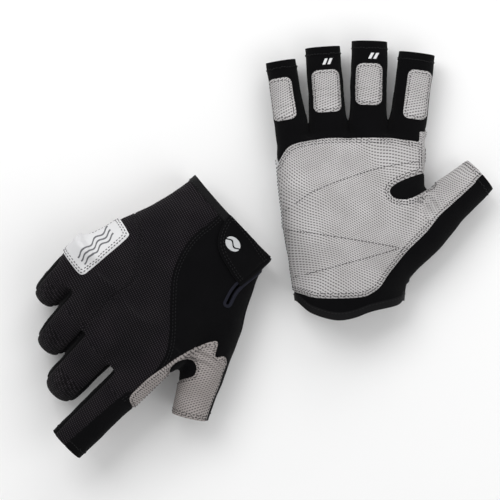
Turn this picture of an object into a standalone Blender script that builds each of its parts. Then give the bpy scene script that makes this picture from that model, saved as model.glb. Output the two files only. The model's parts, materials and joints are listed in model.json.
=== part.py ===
"""A pair of short-finger sailing gloves, one lying palm up with straight fingers, one palm down and curled.

Every glove is built in its own glove frame, in millimetres: +X towards the thumb, +Y towards the fingertips,
+Z out of the palm. The hand is a surface of rounded sections. Each panel is a stretch of that surface, given by
the angle round the section and the distance y, and is one cloth thickness deep. Fingers and thumb are tubes.
"""

import math

import bmesh
import bpy
from mathutils import Matrix, Vector

MM = 0.001

# Driving dimensions, in millimetres.
WALL = 1.4  # thickness of the knit, spandex and palm leather
SEAM_GAP = 0.36  # room left between two panels that are sewn together
EXTRA = 0.5  # more room along curved seams
LAYER_GAP = 0.9  # room left under a piece that lies on the hand
PAD_GAP = 0.5  # room left under a finger pad
TRIM = 0.8  # thickness of a pad or patch
STRAP = 1.2  # thickness of the closing strap
HEM = 4.5  # width of the binding round the cuff
TUBE_SEGMENTS = 16  # facets round a finger
ROUNDNESS = 2.3  # exponent of the section curves: 2 is an ellipse, more is squarer
KNUCKLE_ROUNDNESS = 3.4  # the hand grows squarer towards the fingers

# A stiff piece bent at the middle knuckle needs this room beside the hinge.
BACK_CLEARANCE = 1.8
PALM_CLEARANCE = 12.5
CLEARANCE_REACH = 13.2
BEND_RADIUS = 12.0
BENT_CLEARANCE = 6.5

# Stations along the hand: y, edge on the little-finger side, edge on the thumb side, depth of back, of palm.
HAND = {
    "open": [
        (-12, -33.5, 31.5, 12, 19),
        (2, -35, 34, 12, 20),
        (14, -36, 35.5, 12, 22),
        (28, -39, 39, 12, 23.5),
        (44, -42, 43.5, 12, 24),
        (60, -44.3, 47, 12, 22.5),
        (78, -46, 48.3, 12, 19.5),
        (95, -46.8, 48.5, 11.5, 16),
        (112, -47.4, 48.4, 10.8, 12),
    ],
    "curled": [
        (-12, -35.5, 35.5, 20, 20),
        (8, -36.3, 36.5, 20.5, 20.5),
        (22, -38.5, 40, 21, 21),
        (38, -42.5, 43, 21, 22),
        (54, -47, 44.5, 20.5, 22),
        (72, -51.5, 45.5, 19.5, 20),
        (88, -54.5, 47.0, 17, 15),
        (104, -55.4, 46.5, 13, 12),
    ],
}

# Fingers: root x, y, z; heading towards the thumb and dip towards the palm in degrees; half width and half
# depth at the root and at the tip; distance from the root to the knuckle and to the tip; curl in degrees.
FINGER = {
    "open": {
        "little": (-36.6, 110, 0.5, -9, 0, 10.4, 9.8, 9.6, 8.8, 20, 48, 0),
        "ring": (-13.2, 112, 0.5, -4.3, 0, 11.4, 10.5, 11.2, 9.3, 27, 55, 0),
        "middle": (11.4, 112, 0.5, 1.4, 0, 11.6, 10.7, 11.3, 9.6, 30, 59, 0),
        "index": (36.1, 111, 0.5, 7.4, 0, 11.6, 10.5, 11.4, 9.4, 28, 53, 0),
    },
    "curled": {
        "little": (-45.4, 97, -0.5, 5, 30, 9.6, 10.2, 9.2, 9.0, 26, 52, 82),
        "ring": (-23.6, 102, -1.0, 7, 27, 11.2, 11.4, 10.4, 9.6, 37, 65, 84),
        "middle": (3.5, 103, -1.5, 5, 24, 13.4, 12.0, 11.2, 10.0, 50, 78, 84),
        "index": (32.6, 102, -1.0, 1.5, 14, 12.6, 11.6, 11.9, 9.8, 46, 73, 0),
    },
}

# Thumb: stations x, y, z, half width, half depth, from inside the palm to the open tip.
THUMB = {
    "open": [(24, 27, 2, 15, 13), (44, 49, 1, 16, 14), (60.6, 66.4, 0, 16, 13), (83.6, 86.6, -0.5, 12.3, 10.8)],
    "curled": [(33, 33, 4, 15, 14), (46, 56, 7, 16, 14), (59.5, 78.5, 12, 15.6, 14), (76, 104, 19, 12.4, 11.4)],
}
THUMB_CLEARANCE = 0.5  # share of a finger's hinge clearance that the thumb needs
THUMB_HINGE = 6.0  # distance of the thumb's hinge past the third station
THUMB_PULP = {"open": (-0.62, 0.53, 0.72), "curled": (-0.86, 0.42, 0.25)}  # the way the thumb bends
THUMB_LEATHER = {"open": (-0.75, 0.65, 0.0), "curled": (-0.55, 0.35, -0.75)}  # the way its leather side faces
THUMB_HOLE = {"open": (2, 61, 46, 16), "curled": (22, 61, 52, 18.4)}  # angle, y, half angle, half length

# Seams on the back and on the palm, as x, y points.
BACK_SEAM = {
    "open": [(-36, 42), (-24, 52), (-12, 68), (-8, 88), (-1.5, 108), (-1, 112)],
    "curled": [(-41, 42), (-25, 54.5), (-15, 66), (-12, 78), (-11.5, 98), (-11.2, 104)],
}
THUMB_SEAM = {
    "open": [(-7, -40), (-7, 16), (-5, 34), (4, 50), (17, 62), (29, 74), (37, 88), (41, 97)],
    "curled": [(-7, -40), (-7.5, 16), (-6.5, 30), (-2, 43), (6, 55), (17, 66), (28, 77), (36, 88), (40, 97)],
}
HEEL = {
    "open": [(-40, 12.2), (-28, 10), (-6, 7.6), (7, 9), (16, 13.5), (25.8, 25.7), (34, 36), (38, 43)],
    "curled": [(-40, 4.2), (-28, 2), (-6, -0.4), (7, 1), (16, 5.5), (26, 18), (34, 30), (38, 40)],
}
STRIP_START = 84.0  # where the leather strip on the index side of the hand starts
STRIP_EDGE = 42.0  # its edge on the back and on the palm
CUFF_BULGE = {"open": (7, 12), "curled": (0, 5)}  # y of the cuff, and how far its palm side reaches past it
SLIT_ANGLE = -4  # where the wrist slit runs
SLIT = (37, 3.2)  # its length, and its width at the cuff

# Closing strap on the back of the wrist and the pad under it: reach in x, and in y from the cuff.
STRAP_REACH, STRAP_Y = (33, -1), (2.5, 23.5)
HOOK_REACH, HOOK_Y = (23, 3), (5.5, 20)
STRAP_ANCHOR = 24  # angle on the palm side where the strap is sewn down
PATCH = {"open": (52, 94, -34), "curled": (53, 94, -36)}  # start y, end y, inner edge x
PATCH_WRAP = -187  # angle, past the little-finger edge, where the patch starts

# Finger pads: the start and end, measured back from the open fingertip, and half the angle they cover.
PADS = {"index": (12, 41, 38), "middle": (15, 40, 40), "ring": (15, 41, 40), "little": (11, 38, 40)}

# Where each glove lies: its origin on the table, the heading of its fingers and how far they rise, in degrees.
PLACE = {"open": (53.8, -40, 90, 0), "curled": (-22.6, 18.2, 222.7, 10.5)}

COLOURS = {
    "rib_knit": ((0.018, 0.017, 0.021), 0.9),
    "spandex": ((0.008, 0.008, 0.010), 0.85),
    "palm_leather": ((0.36, 0.34, 0.335), 0.7),
    "patch_leather": ((0.80, 0.80, 0.80), 0.5),
    "hook_loop": ((0.010, 0.010, 0.012), 0.95),
    "binding": ((0.009, 0.009, 0.013), 0.8),
}


def clear_scene():
    for obj in list(bpy.data.objects):
        bpy.data.objects.remove(obj, do_unlink=True)


def new_collection(name):
    made = bpy.data.collections.new(name)
    bpy.context.scene.collection.children.link(made)
    return made


def material(slot):
    found = bpy.data.materials.get(slot)
    if found:
        return found
    made = bpy.data.materials.new(slot)
    made.use_nodes = True
    colour, roughness = COLOURS[slot]
    shader = made.node_tree.nodes["Principled BSDF"]
    shader.inputs["Base Color"].default_value = (*colour, 1)
    shader.inputs["Roughness"].default_value = roughness
    shader.inputs["Metallic"].default_value = 0
    return made


def new_object(name, mesh, where, slot=None):
    obj = bpy.data.objects.new(name, mesh)
    where.objects.link(obj)
    if slot:
        obj.data.materials.append(material(slot))
    return obj


def mesh_from(name, points, faces):
    """A mesh in metres from points in millimetres."""
    mesh = bpy.data.meshes.new(name)
    mesh.from_pydata([Vector(p) * MM for p in points], [], faces)
    made = bmesh.new()
    made.from_mesh(mesh)
    bmesh.ops.recalc_face_normals(made, faces=made.faces)
    made.to_mesh(mesh)
    made.free()
    return mesh


def tube_wall(name, outer, inner, where, slot):
    """A closed sleeve between outer and inner rings of points."""
    rows, count = len(outer), len(outer[0])
    points = [p for grid in (outer, inner) for row in grid for p in row]
    size = rows * count

    def at(layer, i, j):
        return layer * size + i * count + j % count

    faces = []
    for layer in (0, 1):
        for i in range(rows - 1):
            for j in range(count):
                faces.append((at(layer, i, j), at(layer, i, j + 1), at(layer, i + 1, j + 1), at(layer, i + 1, j)))
    for j in range(count):
        for i in (0, rows - 1):
            faces.append((at(0, i, j), at(0, i, j + 1), at(1, i, j + 1), at(1, i, j)))
    return new_object(name, mesh_from(name, points, faces), where, slot)


def panel(name, outer, inner, where, slot):
    """A closed sheet of cloth between an outer and an inner grid of points, with its four edges closed."""
    rows, count = len(outer), len(outer[0])
    points = [p for grid in (outer, inner) for row in grid for p in row]
    size = rows * count

    def at(layer, i, j):
        return layer * size + i * count + j

    faces = []
    for layer in (0, 1):
        for i in range(rows - 1):
            for j in range(count - 1):
                faces.append((at(layer, i, j), at(layer, i, j + 1), at(layer, i + 1, j + 1), at(layer, i + 1, j)))
    for i in range(rows - 1):
        for j in (0, count - 1):
            faces.append((at(0, i, j), at(0, i + 1, j), at(1, i + 1, j), at(1, i, j)))
    for j in range(count - 1):
        for i in (0, rows - 1):
            faces.append((at(0, i, j), at(0, i, j + 1), at(1, i, j + 1), at(1, i, j)))
    return new_object(name, mesh_from(name, points, faces), where, slot)


def power(value, exponent):
    return math.copysign(abs(value) ** exponent, value)


def hand_point(station, angle, grow, flat):
    """A point of the hand's section at one station and angle, grown outwards by grow. flat levels the back."""
    y, low, high, back, palm = station
    middle, half = (low + high) / 2, (high - low) / 2 + grow
    squareness = ROUNDNESS + (KNUCKLE_ROUNDNESS - ROUNDNESS) * min(max((y - 40) / 60, 0), 1)
    x = middle + half * power(math.cos(angle), 2 / squareness)
    rise = power(math.sin(angle), 2 / squareness)
    z = rise * (palm + grow if rise > 0 else back * (1.25 if flat else 1) + grow)
    return (x, y, max(z, -back - grow) if flat else z)


def station_at(stations, y):
    """The hand's section at any y, between the stations on each side."""
    for a, b in zip(stations, stations[1:]):
        if y <= b[0]:
            break
    share = (y - a[0]) / (b[0] - a[0])
    return tuple(p + (q - p) * share for p, q in zip(a, b))


def side_angle(station, x):
    """The angle of the hand's section where its palm side passes x. Its negative is on the back."""
    y, low, high, _, _ = station
    squareness = ROUNDNESS + (KNUCKLE_ROUNDNESS - ROUNDNESS) * min(max((y - 40) / 60, 0), 1)
    share = min(max((x - (low + high) / 2) / ((high - low) / 2), -1), 1)
    return math.degrees(math.acos(power(share, squareness / 2)))


class Tube:
    """A finger or thumb: a line of stations, each a centre, a side axis, a palm axis and two half sizes."""

    def __init__(self):
        self.stations = []

    def add(self, distance, centre, side, palm, half_width, half_depth):
        self.stations.append((distance, Vector(centre), Vector(side), Vector(palm), half_width, half_depth))

    def point(self, station, angle, grow):
        _, centre, side, palm, half_width, half_depth = station
        across = (half_width + grow) * power(math.cos(angle), 2 / ROUNDNESS)
        up = (half_depth + grow) * power(math.sin(angle), 2 / ROUNDNESS)
        return centre + side * across + palm * up

    def between(self, start, end):
        """The stations from one distance to another, with new ones made at both ends."""
        inner = [s for s in self.stations if start + 0.5 < s[0] < end - 0.5]
        return [self.at(start), *inner, self.at(end)]

    def at(self, distance):
        last = len(self.stations) - 2
        for k in range(last + 1):
            a, b = self.stations[k], self.stations[k + 1]
            if distance <= b[0] or k == last:
                break
        share = (distance - a[0]) / (b[0] - a[0])
        mixed = [x + (y - x) * share for x, y in zip(a[1:], b[1:])]
        side = mixed[1].normalized()
        palm = (mixed[2] - side * mixed[2].dot(side)).normalized()
        return (distance, mixed[0], side, palm, mixed[3], mixed[4])


def finger_tube(values):
    """The stations of a finger, bent at its knuckle, and the knuckle's hinge: its point, axis, forward and palm ways."""
    x, y, z, heading, dip, root_width, root_depth, tip_width, tip_depth, knuckle, tip, curl = values
    heading, dip, curl = math.radians(heading), math.radians(dip), math.radians(curl)
    forward = Vector((math.sin(heading) * math.cos(dip), math.cos(heading) * math.cos(dip), math.sin(dip)))
    side = Vector((math.cos(heading), -math.sin(heading), 0))
    palm = side.cross(forward)
    root = Vector((x, y, z))
    hinge = root + forward * knuckle
    tube = Tube()

    def sizes(distance):
        share = distance / tip
        return (root_width + (tip_width - root_width) * share, root_depth + (tip_depth - root_depth) * share)

    tangent = BEND_RADIUS * math.tan(curl / 2)
    for distance in (0, knuckle - tangent - 6):
        tube.add(distance, root + forward * distance, side, palm, *sizes(distance))
    steps = 6 if curl > 0.2 else 0
    start = hinge - forward * tangent
    for k in range(steps + 1):
        angle = curl * k / max(steps, 1)
        centre = start + forward * (BEND_RADIUS * math.sin(angle)) + palm * (BEND_RADIUS * (1 - math.cos(angle)))
        turned = palm * math.cos(angle) - forward * math.sin(angle)
        distance = knuckle - tangent + 2 * tangent * k / max(steps, 1)
        tube.add(distance, centre, side, turned, *sizes(distance))
    onward = forward * math.cos(curl) + palm * math.sin(curl)
    turned = palm * math.cos(curl) - forward * math.sin(curl)
    for distance in ((knuckle + tip) / 2, tip):
        tube.add(distance, hinge + onward * (distance - knuckle), side, turned, *sizes(distance))
    return tube, (hinge, side, forward, palm)


def thumb_tube(stations, pulp):
    """The stations of a thumb whose pulp faces along pulp, and its hinge."""
    points = [Vector(s[:3]) for s in stations]
    tube = Tube()
    distance = 0
    for k, point in enumerate(points):
        ahead = (points[min(k + 1, len(points) - 1)] - points[max(k - 1, 0)]).normalized()
        facing = Vector(pulp)
        palm = (facing - ahead * facing.dot(ahead)).normalized()
        if k:
            distance += (point - points[k - 1]).length
        tube.add(distance, point, ahead.cross(palm), palm, *stations[k][3:])
    hinge_at = tube.stations[2][0] + THUMB_HINGE
    _, centre, side, palm, _, _ = tube.at(hinge_at)
    return tube, (centre, side, palm.cross(side), palm), hinge_at


def line_at(points, value, key=1):
    """The other coordinate of a polyline of x, y points where coordinate key has a value."""
    other = 1 - key
    for a, b in zip(points, points[1:]):
        if value <= b[key]:
            break
    share = (value - a[key]) / (b[key] - a[key])
    return a[other] + (b[other] - a[other]) * share


def blend(low, high, count):
    return [low + (high - low) * k / count for k in range(count + 1)]


def trimmed(outer, inner, gap):
    """Both grids with their four edges moved inwards by gap."""
    for turn in range(2):
        for grid_row, other_row in zip(outer, inner):
            for edge, step in ((0, 1), (-1, -1)):
                length = (grid_row[edge + step] - grid_row[edge]).length
                share = min(gap / max(length, 1e-6), 0.45)
                grid_row[edge] = grid_row[edge].lerp(grid_row[edge + step], share)
                other_row[edge] = other_row[edge].lerp(other_row[edge + step], share)
        outer = [list(column) for column in zip(*outer)]
        inner = [list(column) for column in zip(*inner)]
    return outer, inner


def clearance(depth):
    """The room kept before and after a hinge at a depth towards the palm from the finger's centre."""
    share = (depth + CLEARANCE_REACH) / (2 * CLEARANCE_REACH)
    return BACK_CLEARANCE + (PALM_CLEARANCE - BACK_CLEARANCE) * share


class Glove:
    """One glove: its hand surface, its tubes and the pieces made on them."""

    def __init__(self, kind, where):
        self.kind, self.where = kind, where
        self.hand = HAND[kind]
        self.flat = kind == "open"
        self.cuff, self.bulge = CUFF_BULGE[kind]
        self.end = self.hand[-1][0]
        self.pieces = []

    def keep(self, make, piece, outer, inner, slot):
        self.pieces.append(make(f"{self.kind}_{piece}", outer, inner, self.where, slot))

    def on_hand(self, angle, y, grow):
        return Vector(hand_point(station_at(self.hand, y), math.radians(angle), grow, self.flat))

    def palm(self, x, y):
        return side_angle(station_at(self.hand, y), x)

    def back(self, x, y):
        return -self.palm(x, y)

    def surface(self, piece, grid, slot, low=-WALL, high=0.0):
        """A panel on the hand from a grid of angle, y pairs."""
        outer = [[self.on_hand(a, y, high) for a, y in row] for row in grid]
        inner = [[self.on_hand(a, y, low) for a, y in row] for row in grid]
        self.keep(panel, piece, *trimmed(outer, inner, SEAM_GAP / 2), slot)

    def rows(self, ys, left, right, count):
        """A grid whose rows run from angle left(y) to right(y)."""
        return [[(a, y) for a in blend(left(y), right(y), count)] for y in ys]

    def cuff_y(self, angle):
        return self.cuff - self.bulge * max(math.sin(math.radians(angle)), 0) ** 1.2

    def slit_gap(self, y):
        """Half the slit's width at y, as an angle."""
        width = SLIT[1] * max(1 - (y - self.cuff) / SLIT[0], 0) / 2
        return math.degrees(width / 20)

    def thumb_arc(self, y, side):
        """The angle of the thumb hole's edge at y, on its back (side -1) or its palm side (side 1)."""
        angle, middle, wide, tall = THUMB_HOLE[self.kind]
        return angle + side * wide * math.sqrt(max(1 - ((y - middle) / tall) ** 2, 0))

    def thumb_edge(self, y, side):
        """The edge of the panels on the thumb side of the hand: slit, thumb hole, then the leather strip."""
        angle, middle, _, tall = THUMB_HOLE[self.kind]
        if y > STRIP_START:
            return side * self.palm(STRIP_EDGE, y)
        if abs(y - middle) < tall:
            return self.thumb_arc(y, side)
        if y > middle:
            return angle
        return SLIT_ANGLE + side * self.slit_gap(y)

    def heel_y(self, angle, y_guess=20):
        """The y of the heel seam at an angle on the palm side."""
        y = y_guess
        for _ in range(12):
            x = self.on_hand(angle, y, 0).x
            y = line_at(HEEL[self.kind], x, 0)
        return y

    def hand_panels(self):
        kind, end = self.kind, self.end
        _, middle, _, tall = THUMB_HOLE[kind]
        hem = self.cuff + HEM
        around = [SLIT_ANGLE + self.slit_gap(self.cuff) + k * (360 - 2 * self.slit_gap(self.cuff)) / 30 for k in range(31)]
        self.surface("cuff_binding", [[(a, self.cuff_y(a % 360) + h) for a in around] for h in (0, HEM)], "binding")

        seam_a, seam_b = BACK_SEAM[kind], THUMB_SEAM[kind]
        ys = [hem, 14, 24, 34, 42, middle - tall - 0.2, middle - tall + 0.6, 48, 54, 60, 66, 72, middle + tall - 0.6]
        common = [*ys, middle + tall + 0.2, STRIP_START - 0.4, STRIP_START + 0.4, 88, 93]
        ys = common
        self.surface(
            "wrist_panel",
            self.rows(ys, lambda y: self.back(line_at(seam_b, y), y), lambda y: self.thumb_edge(y, -1), 5),
            "spandex",
        )
        ys = [*common, 97.5, end]
        self.surface(
            "back_panel_inner",
            self.rows(
                ys,
                lambda y: self.back(line_at(seam_a, y), y) if y > 42 else -178,
                lambda y: self.back(line_at(seam_b, y), y) if y < 97 else self.back(STRIP_EDGE, y),
                8,
            ),
            "rib_knit",
        )
        ys = [y for y in ys if y >= 47]
        self.surface(
            "back_panel_outer",
            self.rows(ys, lambda y: -178, lambda y: self.back(line_at(seam_a, y), y), 6),
            "rib_knit",
        )
        strip = [STRIP_START + 0.4, 92, 100, end]
        self.surface(
            "index_side_strip",
            self.rows(strip, lambda y: -self.palm(STRIP_EDGE, y), lambda y: self.palm(STRIP_EDGE, y), 8),
            "palm_leather",
        )
        self.palm_panels()

    def palm_panels(self):
        """The leather palm and, below its heel seam, the plain panel that reaches round to the slit."""
        kind, end = self.kind, self.end
        _, middle, _, tall = THUMB_HOLE[kind]
        last = self.palm(*HEEL[kind][-1])
        columns = blend(182, last, 14)
        top = middle - tall - 0.5
        grid = []
        for share in blend(0, 1, 2):
            row = []
            for angle in [a for a in columns if a < 150] + [last * 0.66, last * 0.33, SLIT_ANGLE]:
                low = self.cuff_y(angle) + HEM + EXTRA
                high = min(self.heel_y(angle) - EXTRA, top) if angle > last - 1 else top
                y = low + (high - low) * share
                row.append((angle + (self.slit_gap(y) if angle == SLIT_ANGLE else 0), y))
            grid.append(row)
        self.surface("heel_panel", grid, "spandex")
        ys = [middle - tall + 0.5, middle - 12, middle - 6, middle, middle + 6, middle + 12, middle + tall - 0.5]
        ys = [*ys, STRIP_START - 0.2, STRIP_START + 0.4, 94, end]
        grid = []
        for share in (0.0, 0.34, 0.68):
            row = []
            for angle in columns:
                low = max(self.heel_y(angle), self.cuff_y(angle) + HEM + EXTRA)
                row.append((angle, low + (ys[0] - 0.01 - low) * share))
            grid.append(row)
        for y in ys:
            right = self.thumb_edge(y, 1)
            grid.append([(a, y) for a in blend(182, right, 14)])
        self.surface("palm_panel", grid, "palm_leather")

    def overlays(self):
        low, high, edge = PATCH[self.kind]
        grid = self.rows(blend(low, high, 4), lambda y: PATCH_WRAP, lambda y: self.back(edge, y), 6)
        self.surface("knuckle_patch", grid, "patch_leather", LAYER_GAP, LAYER_GAP + TRIM)
        under = LAYER_GAP + TRIM + 0.9
        low, high = (self.cuff + y for y in HOOK_Y)
        left, right = HOOK_REACH
        grid = self.rows(blend(low, high, 2), lambda y: self.back(left, y), lambda y: self.back(right, y), 5)
        self.surface("hook_pad", grid, "hook_loop", LAYER_GAP, LAYER_GAP + TRIM)
        low, high = (self.cuff + y for y in STRAP_Y)
        start, stop = STRAP_REACH
        grid = []
        for share in blend(0, 1, 4):
            row = []
            for along in (0, 0.2, 0.4, 0.6, 0.75, 0.88, 0.96, 1):
                round_off = 1 - 0.45 * max(along - 0.7, 0) ** 2 / 0.09
                y = (low + high) / 2 + (high - low) * (share - 0.5) * round_off
                row.append((self.back(start + (stop - start) * along, y), y))
            grid.append(row)
        self.surface("strap", grid, "spandex", under, under + STRAP)
        grid = self.rows(blend(low, high, 2), lambda y: STRAP_ANCHOR, lambda y: self.back(start + 0.3, y), 4)
        self.surface("strap_anchor", grid, "spandex", under, under + STRAP)

    def line(self, tube, angle, start, end, grow, count):
        """Points along a tube at one angle, from distance start to end, bent as the tube is."""
        inside = [s[0] for s in tube.stations if start + 1 < s[0] < end - 1]
        if len(inside) < count:
            inside = blend(start, end, count)[1:-1]
        return [tube.point(tube.at(d), math.radians(angle), grow) for d in (start, *inside, end)]

    def sleeve(self, piece, tube, start, end, slot, angles=None, low=-WALL, high=0.0, count=2):
        """A tube, or the part of one between two angles. start and end are distances for each angle."""
        closed = angles is None
        turn = [360 * k / TUBE_SEGMENTS for k in range(TUBE_SEGMENTS)] if closed else angles
        outer = [self.line(tube, a, start(a), end(a), high, count) for a in turn]
        inner = [self.line(tube, a, start(a), end(a), low, count) for a in turn]
        outer, inner = [list(r) for r in zip(*outer)], [list(r) for r in zip(*inner)]
        if closed:
            self.keep(tube_wall, piece, outer, inner, slot)
        else:
            self.keep(panel, piece, *trimmed(outer, inner, SEAM_GAP / 2), slot)

    def fingers(self):
        for name in ("index", "middle", "ring", "little"):
            values = FINGER[self.kind][name]
            tube, hinge = finger_tube(values)
            knuckle, tip, curl = values[-3:]
            forward = hinge[2]
            depth = values[6]
            bend = BEND_RADIUS * math.tan(math.radians(curl) / 2)

            def root_start(angle):
                point = tube.point(tube.stations[0], math.radians(angle), 0)
                return (self.end + 0.5 - point.y) / forward.y

            def root_end(angle):
                return knuckle - bend - BENT_CLEARANCE if curl else knuckle - room(angle)

            def room(angle):
                return clearance(depth * power(math.sin(math.radians(angle)), 2 / ROUNDNESS))

            def moving_start(angle):
                return knuckle - bend if curl else knuckle + room(angle)

            def tip_end(_):
                return tip

            self.sleeve(f"{name}_root", tube, root_start, root_end, "spandex")
            back, front = blend(180, 360, 8), blend(0, 180, 8)
            self.sleeve(f"{name}_back", tube, moving_start, tip_end, "rib_knit", back)
            self.sleeve(f"{name}_front", tube, moving_start, tip_end, "spandex", front)
            near, far, half = PADS[name]
            angles = blend(90 - half, 90 + half, 4)
            under = PAD_GAP
            self.sleeve(
                f"{name}_pad", tube, lambda _: tip - far, lambda _: tip - near, "palm_leather", angles,
                under, under + TRIM, 3,
            )

    def thumb(self):
        tube, hinge, hinge_at = thumb_tube(THUMB[self.kind], THUMB_PULP[self.kind])
        depth = 13.0

        def room(angle):
            return THUMB_CLEARANCE * clearance(depth * power(math.sin(math.radians(angle)), 2 / ROUNDNESS))

        angle, middle, wide, tall = THUMB_HOLE[self.kind]
        loop = []
        for layer in (0.78, 0.78 - WALL / tall):
            turns = [2 * math.pi * k / TUBE_SEGMENTS for k in range(TUBE_SEGMENTS)]
            points = [(angle + layer * wide * math.cos(t), middle + layer * tall * math.sin(t)) for t in turns]
            loop.append([self.on_hand(a, y, 1.0) for a, y in points])
        angles = [360 * k / TUBE_SEGMENTS for k in range(TUBE_SEGMENTS)]
        ends = [hinge_at - room(a) for a in angles]
        last = [tube.point(tube.at(e), math.radians(a), 0) for a, e in zip(angles, ends)]
        last_in = [tube.point(tube.at(e), math.radians(a), -WALL) for a, e in zip(angles, ends)]
        best = None
        for shift in range(TUBE_SEGMENTS):
            for way in (1, -1):
                order = [(shift + way * k) % TUBE_SEGMENTS for k in range(TUBE_SEGMENTS)]
                cost = sum((loop[0][o] - p).length for o, p in zip(order, last))
                if best is None or cost < best[0]:
                    best = (cost, order)
        first, first_in = ([ring[o] for o in best[1]] for ring in loop)
        lift = Vector((2.0, 0, 0))
        middle_ring = [a.lerp(b, 0.4) + lift for a, b in zip(first, last)]
        middle_in = [a.lerp(b, 0.4) + lift for a, b in zip(first_in, last_in)]
        self.keep(tube_wall, "thumb_root", [first, middle_ring, last], [first_in, middle_in, last_in], "spandex")
        leather = Vector(THUMB_LEATHER[self.kind])
        station = tube.at(hinge_at)
        facing = math.degrees(math.atan2(leather.dot(station[3]), leather.dot(station[2])))
        tip = tube.stations[-1][0]
        for piece, start, slot in (("thumb_inner", facing - 90, "palm_leather"), ("thumb_outer", facing + 90, "spandex")):
            self.sleeve(
                piece, tube, lambda a: hinge_at + room(a), lambda _: tip, slot, blend(start, start + 180, 8),
            )

    def place(self):
        """Turns the glove to the way it lies. Its lowest point comes to z = 0 when the pair is settled."""
        matrix = placement(self.kind)
        low = min((matrix @ v.co).z for obj in self.pieces for v in obj.data.vertices)
        matrix = Matrix.Translation((0, 0, -low)) @ matrix
        for obj in self.pieces:
            obj.data.transform(matrix)


def placement(kind):
    x, y, heading, rise = PLACE[kind]
    heading, rise = math.radians(heading), math.radians(rise)
    along = Vector((math.cos(heading) * math.cos(rise), math.sin(heading) * math.cos(rise), math.sin(rise)))
    facing = 1 if kind == "open" else -1
    side = Vector((math.sin(heading), -math.cos(heading), 0)) * facing
    return Matrix.Translation((x * MM, y * MM, 0)) @ Matrix([side, along, side.cross(along)]).transposed().to_4x4()


def main():
    clear_scene()
    where = new_collection("sailing_gloves")
    gloves = []
    for kind in ("open", "curled"):
        glove = Glove(kind, where)
        glove.hand_panels()
        glove.overlays()
        glove.fingers()
        glove.thumb()
        glove.place()
        gloves.append(glove)
    corners = [v.co for glove in gloves for obj in glove.pieces for v in obj.data.vertices]
    middle = Vector([(min(c[i] for c in corners) + max(c[i] for c in corners)) / 2 for i in range(2)] + [0])
    for glove in gloves:
        for obj in glove.pieces:
            obj.data.transform(Matrix.Translation(-middle))


main()
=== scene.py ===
"""Looks of the pair of sailing gloves: one continuous stretchy form per glove, parted along its seams.

Each glove is worked out in its own frame in millimetres: +X to the thumb, +Y to the fingertips, +Z out of
the palm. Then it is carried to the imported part's frame in metres.
A smooth field of the hand, thumb and fingers is meshed once, then cut along signed seam functions into
panels.
"""
import json
import math

import bpy
import numpy as np
from mathutils import Matrix, Vector


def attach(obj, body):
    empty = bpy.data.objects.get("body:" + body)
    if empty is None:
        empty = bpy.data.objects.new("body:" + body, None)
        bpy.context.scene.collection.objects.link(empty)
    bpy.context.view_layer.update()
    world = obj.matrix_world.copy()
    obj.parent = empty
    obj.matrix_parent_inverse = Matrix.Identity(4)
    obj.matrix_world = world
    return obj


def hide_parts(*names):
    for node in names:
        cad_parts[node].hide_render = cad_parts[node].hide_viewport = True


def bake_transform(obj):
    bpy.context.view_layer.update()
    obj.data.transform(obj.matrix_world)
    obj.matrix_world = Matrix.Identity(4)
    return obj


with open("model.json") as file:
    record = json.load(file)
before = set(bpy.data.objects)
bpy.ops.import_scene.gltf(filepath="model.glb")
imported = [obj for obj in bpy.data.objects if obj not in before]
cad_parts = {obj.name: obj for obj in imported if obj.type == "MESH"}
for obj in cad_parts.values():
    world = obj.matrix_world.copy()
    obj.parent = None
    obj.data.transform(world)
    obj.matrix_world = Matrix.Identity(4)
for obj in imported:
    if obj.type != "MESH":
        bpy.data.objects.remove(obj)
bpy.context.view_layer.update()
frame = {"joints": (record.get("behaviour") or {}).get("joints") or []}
CELL = 1.0  # size of the meshing grid
MM = 0.001
FAR = 1e3  # the value of a signed function well away from where it matters

# ---------------------------------------------------------------- shape tables, in the glove frame

# Rows of the hand: y, x of its little-finger edge and thumb edge, half depth on the back and on the palm.
HAND = {
    "open": [
        (-20, -33.5, 33.5, 11.5, 19), (2, -34.5, 34.2, 11.5, 20), (14, -36, 35.5, 11.5, 22),
        (28, -38, 39, 12, 23.5), (44, -40.6, 43.5, 12, 24), (60, -42.6, 46, 12, 22.5),
        (78, -44.4, 47.4, 12, 19.5), (95, -45.8, 47.8, 11.5, 16), (112, -47.4, 48.2, 10.8, 12),
        (130, -47.4, 48.2, 10.0, 11),
    ],
    "curled": [
        (-20, -35.5, 35.5, 20, 20), (8, -36.1, 36.3, 20.5, 20.5), (22, -38.2, 39.5, 21, 21),
        (38, -42.5, 43, 21, 22), (54, -47, 44.5, 20.5, 22), (72, -51.5, 45.5, 19.5, 20),
        (88, -54.8, 46.6, 17, 15), (104, -55.4, 46.5, 13, 12), (125, -55, 46.5, 11, 11),
    ],
}
HAND_END = {  # x, y of where the hand gives way to the fingers
    "open": [(-50, 104), (-36, 109), (-13, 111), (11, 112), (36, 110), (50, 106)],
    "curled": [(-56, 92), (-45, 98), (-24, 103), (4, 105), (33, 103), (48, 98)],
}
WEBS = {"open": (), "curled": (4, 14, 17)}  # how far cloth joins little-ring, ring-middle, middle-index
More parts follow.
